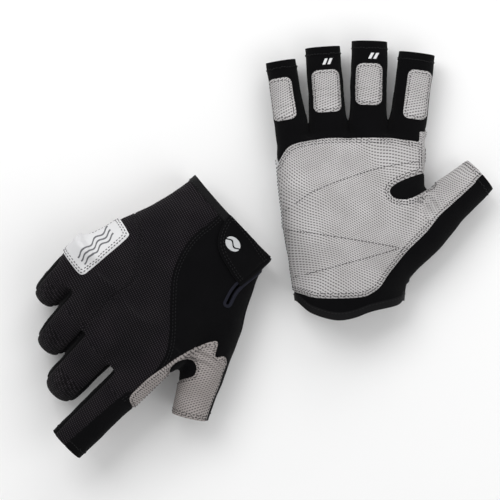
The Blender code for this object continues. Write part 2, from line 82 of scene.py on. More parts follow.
# A finger: x, y, z of its root; heading and dip; half width and half depth at the root, then at the tip;
# how far along its knuckle and its open end are; how far it is curled. Angles are in degrees.
FINGER = {
    "open": {
        "little": (-36.6, 110, 0.5, -9, 0, 10.6, 9.8, 9.6, 8.8, 20, 50, 0),
        "ring": (-13.2, 112, 0.5, -4.3, 0, 11.7, 10.5, 11.4, 9.3, 27, 56.4, 0),
        "middle": (11.4, 112, 0.5, 1.4, 0, 11.9, 10.7, 11.5, 9.6, 30, 60, 0),
        "index": (36.1, 111, 0.5, 7.4, 0, 11.9, 10.5, 11.6, 9.4, 28, 53.8, 0),
    },
    "curled": {
        "little": (-45.4, 97, -0.5, 5, 30, 9.8, 10.2, 9.6, 9.2, 23.5, 49.5, 82),
        "ring": (-23.6, 102, -1.0, 6.0, 27, 11.4, 11.4, 10.3, 9.8, 37.5, 65.5, 84),
        "middle": (2.8, 103, -1.5, 2.8, 24, 13.6, 12.0, 11.5, 10.4, 51, 79, 84),
        "index": (32.6, 102, -1.0, 1.5, 14, 13.0, 11.6, 12.1, 9.8, 46, 73, 0),
    },
}
THUMB = {  # stations: x, y, z, half width, half depth
    "open": [(12, 10, 2, 7, 7), (22, 24, 2, 13, 12), (34, 38, 2, 15.5, 13.5), (46, 50.5, 1, 16.4, 14),
             (60.6, 66.4, 0, 15.9, 13), (72, 76.6, 0, 13.9, 12), (83.6, 86.6, -0.5, 12.4, 10.8)],
    "curled": [(20, 4, 0, 6, 6), (29, 22, 2, 12, 12), (38, 40, 5, 15, 14), (47, 56, 8, 16.2, 15),
               (59.5, 78.5, 12, 15.4, 14), (67.5, 91, 15, 13.6, 12.6), (75.6, 102.5, 18, 12.4, 11.4)],
}
# Which way the thumb's palm side faces:
THUMB_FLEX = {"open": (-0.62, 0.53, 0.72), "curled": (-0.86, 0.42, 0.25)}
MESHED = {  # low and high corner of the box that each glove is meshed in
    "open": ((-66, -16, -18), (104, 182, 30)),
    "curled": ((-68, -16, -28), (96, 184, 62)),
}
BEND_RADIUS = 12.0  # of a curled finger's centre line at its knuckle
SPLIT = {  # where a finger's pieces start, from its root
    "open": {"index": 10, "middle": 15, "ring": 12, "little": 8},
    "curled": {"index": 27, "middle": 15, "ring": 12, "little": 8},
}
THUMB_SPLIT = {"open": 60, "curled": 66}  # the same for the thumb, from its first station
THUMB_ROUND, FINGER_ROUND = 13, 11  # usual radii, which turn an angle round a tube into a length of cloth
CUFF = {"open": (7, 1), "curled": (-1.4, 0.25)}  # y of the cuff, and the share of CUFF_EDGE on its palm side
CUFF_EDGE = [(-37, 8.5), (-33, 5), (-26, -1), (-16, -4.8), (-7, -6.2), (2.3, -4.6), (11.5, -1.2), (18.6, 0.7),
             (29.9, 3.4), (34, 7), (37, 8.5)]

# Seams as x, y points, smoothed. On the back:
SEAM_A = {
    "open": [(-90, 34), (-36, 42), (-24, 52), (-12, 68), (-8, 88), (-3, 108), (-2, 190)],
    "curled": [(-90, 30), (-41, 43), (-25.3, 54.6), (-17, 63.7), (-12.2, 73), (-14.2, 87.8), (-12.5, 111),
               (-9, 190)],
}
SEAM_B = {
    "open": [(-7, -60), (-7, 16), (-5, 34), (4, 50), (17, 62), (29, 74), (36, 88), (40.5, 100), (41.5, 116),
             (39.5, 128), (43, 168), (45, 190)],
    "curled": [(-7, -60), (-6.9, 7.5), (-7.7, 17.8), (-7.2, 29.4), (-3.3, 42), (2.7, 52.4), (14, 64.1),
               (25.8, 75.5), (34.5, 86.2), (38.4, 97), (39.2, 108), (38.4, 118), (35.6, 128), (34.0, 174),
               (33.5, 195)],
}
# On the palm:
PALM_TOP = {
    "open": [(-90, 60), (-50, 90), (-46, 95), (-39.5, 104), (-29.7, 107.6), (-15, 109.7), (5.4, 110),
             (25.8, 109.7), (46.6, 107.3), (140, 100)],
    "curled": [(-90, 50), (-56, 80), (-51, 86), (-44, 93), (-32, 97), (-15, 99), (5, 99.5), (25.8, 99.5),
               (46.6, 98), (140, 92)],
}
HEEL = {
    "open": [(-90, 26), (-35, 11.5), (-23.2, 8.3), (-6.8, 7.8), (7.4, 8.8), (13.6, 11.4), (18.6, 15.5),
             (25.8, 25.7), (36, 38), (48.3, 50.2), (56.4, 60.4), (66.6, 69.6), (78.8, 80.8), (84.5, 87.4),
             (130, 132)],
    "curled": [(-90, 18), (-36, 3), (-23, 0), (-7, -1), (7, 0), (16, 5), (26, 18), (36, 33), (47, 52),
               (60, 74), (76, 99), (95, 130)],
}
# Leather on the back of the thumb and along the index side, as a closed outline.
BACK_LEATHER = {
    "open": [(46, 115), (44.2, 113), (44.4, 106), (45.4, 94), (46, 84), (46.5, 74), (50, 62), (56, 63),
             (60, 57), (66, 60), (84, 80), (96, 98), (80, 112), (56, 116)],
    "curled": [(44.5, 125.2), (40.6, 123.5), (39.2, 119), (39.1, 106.3), (40.9, 94.1), (42.2, 82.5),
               (44.6, 72.6), (51.3, 58.8), (57.8, 66.1), (62, 61.9), (66.4, 63.6), (69.5, 70), (85.5, 99),
               (93, 118), (70, 132), (50, 127)],
}
GUSSET = {
    "open": [(52, 89), (46, 87.4), (38, 84.8), (30, 81.4), (25.2, 77.6), (25, 74), (28.5, 71.2), (35, 70.6),
             (42, 72.8), (49, 77), (54, 79.6)],
    "curled": [(57.2, 84.3), (56.2, 87.4), (53.6, 91.4), (50.6, 97), (45, 93), (43.8, 88), (44.8, 83),
               (47.2, 79.6), (51, 78.2), (55, 79.9)],
}
PATCH = {
    "open": [(-62, 52), (-34, 55), (-35, 75), (-35, 95), (-62, 93)],
    "curled": [(-75, 51), (-50, 51.5), (-38, 53), (-35.2, 56), (-35.4, 75), (-36, 87.5), (-36.6, 91.2),
               (-40, 93.2), (-56, 91.8), (-75, 90.8)],
}
# The strap's tab, up from the cuff, and where its moving part ends:
TAB = [(-0.6, -1.2), (0.2, 8.9), (5.6, 17.3), (12.7, 21.4), (22.6, 23.8), (33, 25.4), (60, 26), (60, 1.5),
       (33.2, 1.2), (16, -1.2)]
TAB_END = 33.2
SLIT_LINE = [(36.2, -6), (36.1, 6), (35.2, 16), (34.6, 25), (35.6, 32), (38.1, 38.9)]  # up from the cuff
# A stall's pad: its ends back from the open end, its half width, and how far it is off the centre line.
PAD_ENDS = {"index": (11, 42.3), "middle": (14.5, 41), "ring": (14.9, 41.9), "little": (11, 38)}
PAD_HALF = {"index": 7.6, "middle": 8.2, "ring": 8.6, "little": 7.6}
PAD_SHIFT = {"index": 3.2, "middle": -0.3, "ring": 0.2, "little": -3.0}
KNUCKLE_STITCH = {
    "open": [[(45.7, 95), (20.7, 91), (-2.8, 83.8), (-21.1, 76.7), (-28.3, 72.6), (-36.5, 66.6)],
             [(-42.6, 51.7), (-20, 48.5), (8, 44), (31.4, 39.9), (8, 33), (-30.3, 22.6)]],
    "curled": [[(45.7, 86), (20.7, 82), (-2.8, 75), (-21.1, 68), (-36.5, 58)]],
}

CURLED_HEADING, CURLED_RISE = -47.3, 10.5  # the curled glove lies palm down, turned and raised at its wrist
TURN = {
    "open": Matrix.Identity(4),
    "curled": Matrix.Rotation(math.radians(CURLED_HEADING), 4, "Z")
    @ Matrix.Rotation(math.radians(180 - CURLED_RISE), 4, "X"),
}
FINGERS = ("index", "middle", "ring", "little")

# ---------------------------------------------------------------- small numeric helpers


def smooth_curve(points, closed=False, step=1.2):
    """Points of a Catmull-Rom curve through the given ones."""
    pts = np.array(points, float)
    before, after = (pts[-1], pts[:2]) if closed else (2 * pts[0] - pts[1], 2 * pts[-1] - pts[-2])
    pts = np.vstack([before, pts, after])
    out = []
    for a, b, c, d in zip(pts, pts[1:], pts[2:], pts[3:]):
        count = max(1, int(np.linalg.norm(c - b) / step))
        t = (np.arange(count) / count)[:, None]
        square, cube = 2 * a - 5 * b + 4 * c - d, 3 * b - a - 3 * c + d
        out.append(0.5 * (2 * b + (c - a) * t + square * t**2 + cube * t**3))
    out = np.vstack(out)
    return out if closed else np.vstack([out, pts[-2]])


def line_distance(p, line, closed=False):
    """Signed distance in the plane: positive to the left of an open line, negative inside a closed one."""
    line = np.asarray(line, float)
    a, b = (line, np.roll(line, -1, axis=0)) if closed else (line[:-1], line[1:])
    best = np.full(len(p), 1e9)
    sign = np.ones(len(p))
    crossings = np.zeros(len(p), int)
    for (ax, ay), (bx, by) in zip(a, b):
        dx, dy = bx - ax, by - ay
        size = dx * dx + dy * dy + 1e-12
        px, py = p[:, 0] - ax, p[:, 1] - ay
        t = np.clip((px * dx + py * dy) / size, 0, 1)
        ex, ey = px - t * dx, py - t * dy
        d = ex * ex + ey * ey
        near = d < best
        best = np.where(near, d, best)
        sign = np.where(near, np.sign(dx * py - dy * px), sign)
        if closed:
            slope = dx / (dy if abs(dy) > 1e-12 else 1e-12)
            crossings += ((ay > p[:, 1]) != (by > p[:, 1])) & (px < py * slope)
    best = np.sqrt(best)
    if closed:
        return np.where(crossings % 2 == 1, -best, best)
    return best * np.where(sign == 0, 1, sign)


def smoothstep(share):
    return share * share * (3 - 2 * share)


def unit(vectors):
    return vectors / np.maximum(np.linalg.norm(vectors, axis=-1, keepdims=True), 1e-6)


def joint_place(name):
    return Vector(next(j for j in frame["joints"] if j["name"] == name)["pos_m"])


def soft_min(a, b, k):
    """The smaller value, rounded over a stretch k where the two are close."""
    h = np.maximum(k - np.abs(a - b), 0) / k
    return np.minimum(a, b) - h * h * k / 4


def pseudo_noise(p, scale, seed):
    """A smooth, repeatable waviness from a few crossed sines."""
    rng = np.random.default_rng(seed)
    total = np.zeros(len(p))
    for _ in range(7):
        way = unit(rng.normal(size=3))
        total += np.sin(p @ way * (2 * math.pi / (scale * rng.uniform(0.7, 1.5))) + rng.uniform(0, 6.3))
    return total / 3.5


# ---------------------------------------------------------------- the form


class Tube:
    """A finger or thumb: samples along its centre line with side and palm axes and half sizes."""

    def __init__(self, t, centre, side, palm, width, depth, tip):
        self.t, self.c, self.s, self.b = t, centre, side, palm
        self.w, self.d, self.tip = width, depth, tip
        self.tangent = np.cross(side, palm)
        if np.sum(self.tangent[:-1] * np.diff(centre, axis=0), axis=1).mean() < 0:
            self.tangent = -self.tangent

    def measure(self, p):
        """For each point: a distance to the surface, how far along it is, and its side and palm offsets."""
        near = np.empty(len(p), int)
        batch = 20000  # bounds the memory used at a time
        for k in range(0, len(p), batch):
            chunk = p[k : k + batch]
            near[k : k + batch] = np.argmin(((chunk[:, None, :] - self.c[None]) ** 2).sum(-1), axis=1)
        rel = p - self.c[near]
        along = np.sum(rel * self.tangent[near], axis=1)
        t = self.t[near] + along
        a = np.sum(rel * self.s[near], axis=1)
        b = np.sum(rel * self.b[near], axis=1)
        w = np.interp(t, self.t, self.w)
        d = np.interp(t, self.t, self.d)
        n = 2.25  # a little squarer than an ellipse
        q = ((np.abs(a) / w) ** n + (np.abs(b) / d) ** n) ** (1 / n) + 1e-6
        r = np.hypot(a, b)
        return r - r / q, t, a, b


def finger_tube(values):
    """A straight tube, a round bend at the knuckle and another straight tube."""
    x, y, z, heading, dip, w0, d0, w1, d1, knuckle, tip, curl = values
    heading, dip, curl = np.radians([heading, dip, curl])
    f = np.array([math.sin(heading) * math.cos(dip), math.cos(heading) * math.cos(dip), math.sin(dip)])
    s = np.array([math.cos(heading), -math.sin(heading), 0])
    p = np.cross(s, f)
    root = np.array([x, y, z])
    tan = BEND_RADIUS * math.tan(curl / 2)
    arc = BEND_RADIUS * curl
    start = knuckle - tan
    end = tip + arc - 2 * tan
    on = f * math.cos(curl) + p * math.sin(curl)
    ts = np.arange(-22, end + 6.01, 1.0)
    cs, ps = [], []
    for t in ts:
        if t <= start or curl < 0.1:
            cs.append(root + f * t)
            ps.append(p)
        elif t < start + arc:
            angle = (t - start) / BEND_RADIUS
            drop = BEND_RADIUS * (1 - math.cos(angle))
            cs.append(root + f * (start + BEND_RADIUS * math.sin(angle)) + p * drop)
            ps.append(p * math.cos(angle) - f * math.sin(angle))
        else:
            cs.append(root + f * knuckle + on * (tan + t - start - arc))
            ps.append(p * math.cos(curl) - f * math.sin(curl))
    share = np.clip(ts / end, 0, 1)
    tube = Tube(ts, np.array(cs), np.tile(s, (len(ts), 1)), np.array(ps), w0 + (w1 - w0) * share,
                d0 + (d1 - d0) * share, end)
    tube.hinge = root + f * knuckle
    reach = 13.0  # how far either side of the hinge the cloth bends
    tube.bend = (tube.hinge - f * reach, tube.hinge + on * reach)
    return tube


def to_row(kind):
    """Carries a glove's own frame, in metres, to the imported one: its index knuckle lands on its joint."""
    hinge = Vector(finger_tube(FINGER[kind]["index"]).hinge) * MM
    return Matrix.Translation(joint_place(f"{kind}_index_knuckle") - TURN[kind] @ hinge) @ TURN[kind]


TO_ROW = {kind: to_row(kind) for kind in FINGER}


def thumb_tube(kind):
    """A tube through the thumb's stations, run on past its open end."""
    past_end = 7
    stations = np.array(THUMB[kind], float)
    ahead = stations[-1] - stations[-2]
    ahead = ahead / np.linalg.norm(ahead[:3])
    stations = np.vstack([stations, stations[-1] + ahead * past_end])
    line = smooth_curve(stations, step=1.0)
    c = line[:, :3]
    t = np.concatenate([[0], np.cumsum(np.linalg.norm(np.diff(c, axis=0), axis=1))])
    tangent = unit(np.gradient(c, axis=0))
    pulp = np.array(THUMB_FLEX[kind])
    palm = unit(pulp - tangent * (tangent @ pulp)[:, None])
    side = np.cross(tangent, palm)
    tip = np.linalg.norm(stations[-1, :3] - stations[-2, :3])
    tube = Tube(t, c, side, palm, line[:, 3], line[:, 4], t[-1] - tip)
    tube.tangent = tangent
    return tube


class Form:
    """The smooth outer form of one glove, with everything that seams are measured by."""

    def __init__(self, kind):
        self.kind = kind
        rows = np.array(HAND[kind], float)
        y = np.arange(rows[0, 0], rows[-1, 0] + 0.1, 1.0)
        cols = [np.interp(y, rows[:, 0], rows[:, k]) for k in range(1, 5)]
        kernel = np.exp(-np.linspace(-2, 2, 17) ** 2)
        kernel /= kernel.sum()
        smooth = [np.convolve(np.pad(c, 8, mode="edge"), kernel, mode="valid") for c in cols]
        self.y, self.cols = y, smooth
        self.tubes = {name: finger_tube(FINGER[kind][name]) for name in FINGERS}
        self.thumb = thumb_tube(kind)

    def section(self, y):
        return [np.interp(y, self.y, c) for c in self.cols]

    def hand(self, p):
        lo, hi, back, palm = self.section(p[:, 1])
        n = 2.3 + 1.0 * np.clip((p[:, 1] - 40) / 60, 0, 1)
        x = p[:, 0] - (lo + hi) / 2
        z = p[:, 2]
        deep = np.where(z > 0, palm, back * (1.25 if self.kind == "open" else 1))
        q = ((np.abs(x) / ((hi - lo) / 2)) ** n + (np.abs(z) / deep) ** n) ** (1 / n) + 1e-6
        r = np.hypot(x, z)
        d = r - r / q
        if self.kind == "open":
            d = -soft_min(-d, z + back, 3.0)
        ends = np.array(HAND_END[self.kind], float)
        return -soft_min(-d, np.interp(p[:, 0], ends[:, 0], ends[:, 1]) - p[:, 1], 9.0)

    def webs(self):
        """Short tubes of cloth that close the crotches between neighbouring fingers."""
        made = []
        neighbours = (("little", "ring"), ("ring", "middle"), ("middle", "index"))
        for pair, reach in zip(neighbours, WEBS[self.kind]):
            one, two = [self.tubes[name] for name in pair]
            t = np.arange(-14, reach + 8.0, 1.0)
            mid = [np.stack([np.interp(t, tube.t, tube.c[:, i]) for i in range(3)], 1) for tube in (one, two)]
            centre = (mid[0] + mid[1]) / 2
            gap = np.linalg.norm(mid[1] - mid[0], axis=1) / 2 - 4
            side = np.tile(one.s[0], (len(t), 1))
            ahead = unit(np.gradient(centre, axis=0))
            palm = np.cross(side, ahead)
            width = np.clip(gap, 3, 12)
            depth = np.clip(9.5 - 0.12 * np.maximum(t, 0), 5, 12)
            web = Tube(t, centre, side, palm, width, depth, reach - 4)
            web.tangent = ahead
            made.append(web)
        return made

    def grid(self):
        """The field on a grid, with the grid's low corner and step."""
        lows, highs = np.array(MESHED[self.kind], float)
        h = CELL
        shape = np.ceil((highs - lows) / h).astype(int) + 1
        axes = [lows[i] + h * np.arange(shape[i]) for i in range(3)]
        pts = np.stack(np.meshgrid(*axes, indexing="ij"), -1).reshape(-1, 3)
        field = self.hand(pts).reshape(shape)
        # Each tube, how roundly it joins what is there, and how far round it the field can change.
        parts = [(self.tubes[n], 4.0, 7) for n in FINGERS] + [(web, 3.0, 6) for web in self.webs()]
        for tube, k, pad in parts + [(self.thumb, 6.0 if self.kind == "open" else 9.0, 12)]:
            low = tube.c.min(0) - tube.w.max() - pad
            high = tube.c.max(0) + tube.w.max() + pad
            i0 = np.clip(((low - lows) / h).astype(int), 0, shape - 1)
            i1 = np.clip(((high - lows) / h).astype(int) + 2, 0, shape)
            box = tuple(slice(a, b) for a, b in zip(i0, i1))
            sub = pts.reshape(*shape, 3)[box]
            flat = sub.reshape(-1, 3)
            d, t, _, _ = tube.measure(flat)
            d = np.maximum(d, t - (tube.tip + 4))
            d = np.maximum(d, tube.t[0] + 2 - t).reshape(sub.shape[:3])
            field[box] = soft_min(field[box], d, k)
        return field, lows, h


def surface_nets(field, low, h):
    """Vertices and quads of the zero surface of a field."""
    inside = field < 0
    cells = tuple(n - 1 for n in field.shape)
    total = np.zeros((*cells, 3))
    count = np.zeros(cells)
    for axis in range(3):
        others = [a for a in range(3) if a != axis]
        for u in (0, 1):
            for v in (0, 1):
                start = [0, 0, 0]
                start[others[0]], start[others[1]] = u, v
                stop = list(start)
                stop[axis] = 1
                a = tuple(slice(start[i], start[i] + cells[i]) for i in range(3))
                b = tuple(slice(stop[i], stop[i] + cells[i]) for i in range(3))
                fa, fb = field[a], field[b]
                hit = (fa < 0) != (fb < 0)
                t = np.where(hit, fa / np.where(hit, fa - fb, 1), 0)
                for i in range(3):
                    total[..., i] += hit * (t if i == axis else start[i])
                count += hit
    mask = count > 0
    index = np.full(cells, -1)
    index[mask] = np.arange(mask.sum())
    verts = (np.argwhere(mask) + total[mask] / count[mask][:, None]) * h + low
    quads = []
    for axis in range(3):
        u, v = [(1, 2), (2, 0), (0, 1)][axis]
        lo = [slice(1, -1)] * 3
        lo[axis] = slice(0, -1)
        hi = list(lo)
        hi[axis] = slice(1, None)
        fa, fb = inside[tuple(lo)], inside[tuple(hi)]
        where = np.argwhere(fa != fb)
        out = fa[tuple(where.T)]
        where[:, u] += 1
        where[:, v] += 1
        corners = []
        for du, dv in ((-1, -1), (0, -1), (0, 0), (-1, 0)):
            cell = where.copy()
            cell[:, u] += du
            cell[:, v] += dv
            corners.append(index[tuple(cell.T)])
        q = np.stack(corners, 1)
        q[~out] = q[~out][:, ::-1]
        quads.append(q[(q >= 0).all(1)])
    return verts, np.vstack(quads)


def sample(grid, low, h, p):
    """Trilinear values of a grid at points."""
    g = (p - low) / h
    g = np.clip(g, 0, np.array(grid.shape[:3]) - 1.001)
    i = g.astype(int)
    f = g - i
    out = 0
    for dx in (0, 1):
        for dy in (0, 1):
            for dz in (0, 1):
                shares = [f[:, i] if up else 1 - f[:, i] for i, up in enumerate((dx, dy, dz))]
                w = shares[0] * shares[1] * shares[2]
                value = grid[i[:, 0] + dx, i[:, 1] + dy, i[:, 2] + dz]
                out = out + (w[:, None] * value if value.ndim > 1 else w * value)
    return out


def clip(mesh, s):
    """The part of a triangle mesh where s is negative. Corners on cut edges are shared."""
    v, n, tris = mesh
    inside = s < 0
    count = inside[tris].sum(1)
    keep = [tris[count == 3]]
    one = tris[count == 1]
    two = tris[count == 2]
    first = np.argmax(inside[one], axis=1)
    one = one[np.arange(len(one))[:, None], (first[:, None] + np.arange(3)) % 3]
    first = np.argmin(inside[two], axis=1)
    two = two[np.arange(len(two))[:, None], (first[:, None] + np.arange(3)) % 3]
    ends = np.vstack([one[:, [0, 1]], one[:, [0, 2]], two[:, [1, 0]], two[:, [2, 0]]])
    low, high = ends.min(1), ends.max(1)
    key = low * len(v) + high
    unique, back = np.unique(key, return_inverse=True)
    a, b = unique // len(v), unique % len(v)
    t = (s[a] / (s[a] - s[b]))[:, None]
    new_v, new_n = v[a] + (v[b] - v[a]) * t, n[a] + (n[b] - n[a]) * t
    back = back + len(v)
    k, m = len(one), len(two)
    e01, e02, e10, e20 = back[:k], back[k : 2 * k], back[2 * k : 2 * k + m], back[2 * k + m :]
    keep.append(np.stack([one[:, 0], e01, e02], 1))
    keep.append(np.stack([two[:, 1], two[:, 2], e20], 1))
    keep.append(np.stack([two[:, 1], e20, e10], 1))
    tris = np.vstack(keep)
    v, n = np.vstack([v, new_v]), np.vstack([n, new_n])
    used, tris = np.unique(tris, return_inverse=True)
    return v[used], n[used], tris.reshape(-1, 3)


def cut(mesh, *fields):
    """The part of a triangle mesh where every field is negative."""
    for field in fields:
        mesh = clip(mesh, field(mesh[0]))
    return mesh


def refine(mesh):
    """The same triangle mesh with each triangle split in four."""
    v, n, tris = mesh
    edges = np.vstack([tris[:, [0, 1]], tris[:, [1, 2]], tris[:, [2, 0]]])
    key = edges.min(1) * len(v) + edges.max(1)
    unique, back = np.unique(key, return_inverse=True)
    a, b = unique // len(v), unique % len(v)
    m = (back + len(v)).reshape(3, -1).T
    corners = [(tris[:, 0], m[:, 0], m[:, 2]), (m[:, 0], tris[:, 1], m[:, 1]), (m[:, 2], m[:, 1], tris[:, 2]),
               (m[:, 0], m[:, 1], m[:, 2])]
    return (np.vstack([v, (v[a] + v[b]) / 2]), np.vstack([n, (n[a] + n[b]) / 2]),
            np.vstack([np.stack(c, 1) for c in corners]))


class Skin:
    """The meshed form of a glove and the signed functions of its seams."""

    def __init__(self, kind):
        self.kind = kind
        self.form = Form(kind)
        field, low, h = self.form.grid()
        verts, quads = surface_nets(field, low, h)
        gradient = np.stack(np.gradient(field, h), -1)
        for _ in range(2):
            f = sample(field, low, h, verts)
            g = sample(gradient, low, h, verts)
            verts = verts - g * (f / np.maximum((g * g).sum(1), 0.05))[:, None] * 0.9
        g = sample(gradient, low, h, verts)
        self.mesh = (verts, unit(g), np.vstack([quads[:, [0, 1, 2]], quads[:, [0, 2, 3]]]))
        self.seams = {name: smooth_curve(table[kind]) for name, table in
                      (("A", SEAM_A), ("B", SEAM_B), ("top", PALM_TOP), ("heel", HEEL))}
        self.outlines = {name: smooth_curve(table[kind], closed=True) for name, table in
                         (("leather", BACK_LEATHER), ("gusset", GUSSET), ("patch", PATCH))}
        self.cache = {}

    def remember(self, name, p, work):
        """The result of work() for these points, worked out once."""
        key = (name, id(p))
        if key not in self.cache:
            if len(self.cache) > 60:
                self.cache.clear()
            self.cache[key] = (p, work())
        return self.cache[key][1]

    def facts(self, p):
        return self.remember("facts", p, lambda: self.measure(p))

    def measure(self, p):
        """Owner tube, distance along it and offsets for every point."""
        best = np.full(len(p), 1e9)
        owner = np.zeros(len(p), int)
        own = np.zeros((3, len(p)))
        for k, name in enumerate(FINGERS):
            d, *offsets = self.form.tubes[name].measure(p)
            t = offsets[0]
            d = np.where(t < -18, 1e6, np.abs(d)) + np.maximum(-t - 4, 0) * 0.2
            near = d < best
            best = np.where(near, d, best)
            owner = np.where(near, k, owner)
            own = np.where(near, offsets, own)
        d, t, a, b = self.form.thumb.measure(p)
        skin_depth, past_root, below, beside = 1.5, 30, 122, 40
        is_thumb = (d < skin_depth) & (t > past_root) & (p[:, 1] < below) & (p[:, 0] > beside)
        return dict(owner=owner, t=own[0], a=own[1], b=own[2], thumb_t=t, thumb_a=a, thumb_b=b, thumb_d=d,
                    is_thumb=is_thumb)

    def offsets(self, p, zone):
        """Side offset, palm offset and distance along, on the finger or on the thumb."""
        f, prefix = self.facts(p), "thumb_" if zone == "thumb" else ""
        return [f[prefix + key] for key in "abt"]

    # Signed functions: negative inside.

    def finger_zone(self, p, name):
        """Negative on one finger, past where its own pieces start."""
        f = self.facts(p)
        return np.where(f["owner"] == FINGERS.index(name), SPLIT[self.kind][name] - f["t"], FAR)

    def thumb_zone(self, p):
        """The same for the thumb."""
        f = self.facts(p)
        return np.where(f["is_thumb"], THUMB_SPLIT[self.kind] - f["thumb_t"], FAR)

    def tip_trim(self, p, name):
        """Negative up to a finger's or the thumb's open end."""
        f = self.facts(p)
        if name == "thumb":
            return np.where(f["is_thumb"], f["thumb_t"] - self.form.thumb.tip, -FAR)
        return np.where(f["owner"] == FINGERS.index(name), f["t"] - self.form.tubes[name].tip, -FAR)

    def palmward(self, p):
        """Negative on the back half, positive on the palm half.

        The hand's own depth gives way to the fingers' palm side. On the thumb it is taken from its middle.
        """
        f = self.facts(p)
        to_fingers, over, thumb_top, thumb_edge = 92, 14, 112, 36
        share = smoothstep(np.clip((p[:, 1] - to_fingers) / over, 0, 1))
        base = p[:, 2] * (1 - share) + f["b"] * share
        d, t = f["thumb_d"], f["thumb_t"]
        centre = np.interp(t, self.form.thumb.t, self.form.thumb.c[:, 2])
        thumb = np.clip((t - 28) / 20, 0, 1) * np.clip((6 - np.abs(d)) / 4, 0, 1) * (p[:, 0] > thumb_edge)
        return np.where(p[:, 1] < thumb_top, base - centre * thumb, base)

    def cuff_line(self, p):
        """Positive on the glove, negative past its cuff."""
        level, bulge = CUFF[self.kind]
        edge = smooth_curve(CUFF_EDGE)
        past = (np.interp(p[:, 0], edge[:, 0], edge[:, 1]) - CUFF["open"][0]) * bulge
        over, dip, half_width = 9, 1.2, 36  # the palm's bulge comes in over a depth, and the back's edge dips
        on_palm = smoothstep(np.clip(self.palmward(p) / over, 0, 1))
        back = dip * (p[:, 0] / half_width) ** 2 * (1 - on_palm)
        return self.plan(p)[:, 1] - (level + past * on_palm) + back

    def plan(self, p):
        """x and y of points as seen from above the glove as it lies, for what is drawn on its back."""
        if self.kind == "open":
            return p[:, :2]
        rise = math.radians(CURLED_RISE)
        return np.stack([p[:, 0], p[:, 1] * math.cos(rise) + np.minimum(p[:, 2], 0) * math.sin(rise)], 1)

    def seam(self, name):
        return lambda p: self.remember(name, p, lambda: line_distance(self.plan(p), self.seams[name]))

    def outline(self, name):
        area = self.outlines[name]
        return lambda p: self.remember(name, p, lambda: line_distance(self.plan(p), area, closed=True))

    def palm_side(self, p):
        """Positive where the palm's pieces lie: the leather wraps a little past the little-finger edge."""
        wrap = 1.2 if self.kind == "open" else -3.0
        return self.palmward(p) + wrap * np.clip(-p[:, 0] / 25, 0, 1) * np.clip((104 - p[:, 1]) / 10, 0, 1)

    def beside_slit(self, p):
        """Distance from the wrist slit's line, positive on the little-finger side, on the back only."""
        line = smooth_curve([(x, y + CUFF[self.kind][0]) for x, y in SLIT_LINE])
        d = self.remember("slit", p, lambda: line_distance(self.plan(p), line))
        return np.where(self.palmward(p) < 3, d, np.where(d > 0, 99, -99))

    def rib_side(self, p):
        """Negative on the ribbed knit's side of the hand, which leaves the fingers' sides plain."""
        if self.kind == "open":
            return self.palm_side(p)
        return self.palm_side(p) + 6.0 * smoothstep(np.clip((p[:, 1] - 90) / 12, 0, 1))

    def slit(self, p):
        """Negative inside the wrist slit."""
        return np.abs(self.beside_slit(p)) - 1.0

    def leather(self, p):
        """Negative on the light leather: palm, index side strip and the inner side of the thumb."""
        side_top = 114 if self.kind == "open" else 121
        top, heel, palmward = self.seam("top")(p), self.seam("heel")(p), self.palmward(p)
        palm = np.max([top, -heel, -self.palm_side(p)], axis=0)
        side = np.max([np.abs(palmward) - 11, 44.5 - p[:, 0], p[:, 1] - side_top, -heel], axis=0)
        back = np.maximum(self.outline("leather")(p), palmward - 2)
        return np.min([palm, back, side], axis=0)

    def notch(self, p):
        """Negative on the plain black gusset at the root of the thumb."""
        area = self.outline("gusset")(p)
        if self.kind == "open":
            return np.maximum(area, -self.palmward(p) - 6)
        return np.maximum(area, self.palmward(p) - 16)


def both(*fields):
    """Negative where every field is."""
    return lambda p: np.max([f(p) for f in fields], axis=0)


def flip(field):
    """Negative where the field is positive."""
    return lambda p: -field(p)


def shift(field, amount):
    """The field with its edge moved inward by an amount."""
    return lambda p: field(p) + amount


# ---------------------------------------------------------------- materials


class Value:
    """A shader value that takes part in arithmetic."""

    def __init__(self, nodes, socket):
        self.nodes, self.socket = nodes, socket

    def __add__(self, other):
        return self.nodes.math("ADD", self, other)

    def __sub__(self, other):
        return self.nodes.math("SUBTRACT", self, other)

    def __mul__(self, other):
        return self.nodes.math("MULTIPLY", self, other)

    def __truediv__(self, other):
        return self.nodes.math("DIVIDE", self, other)


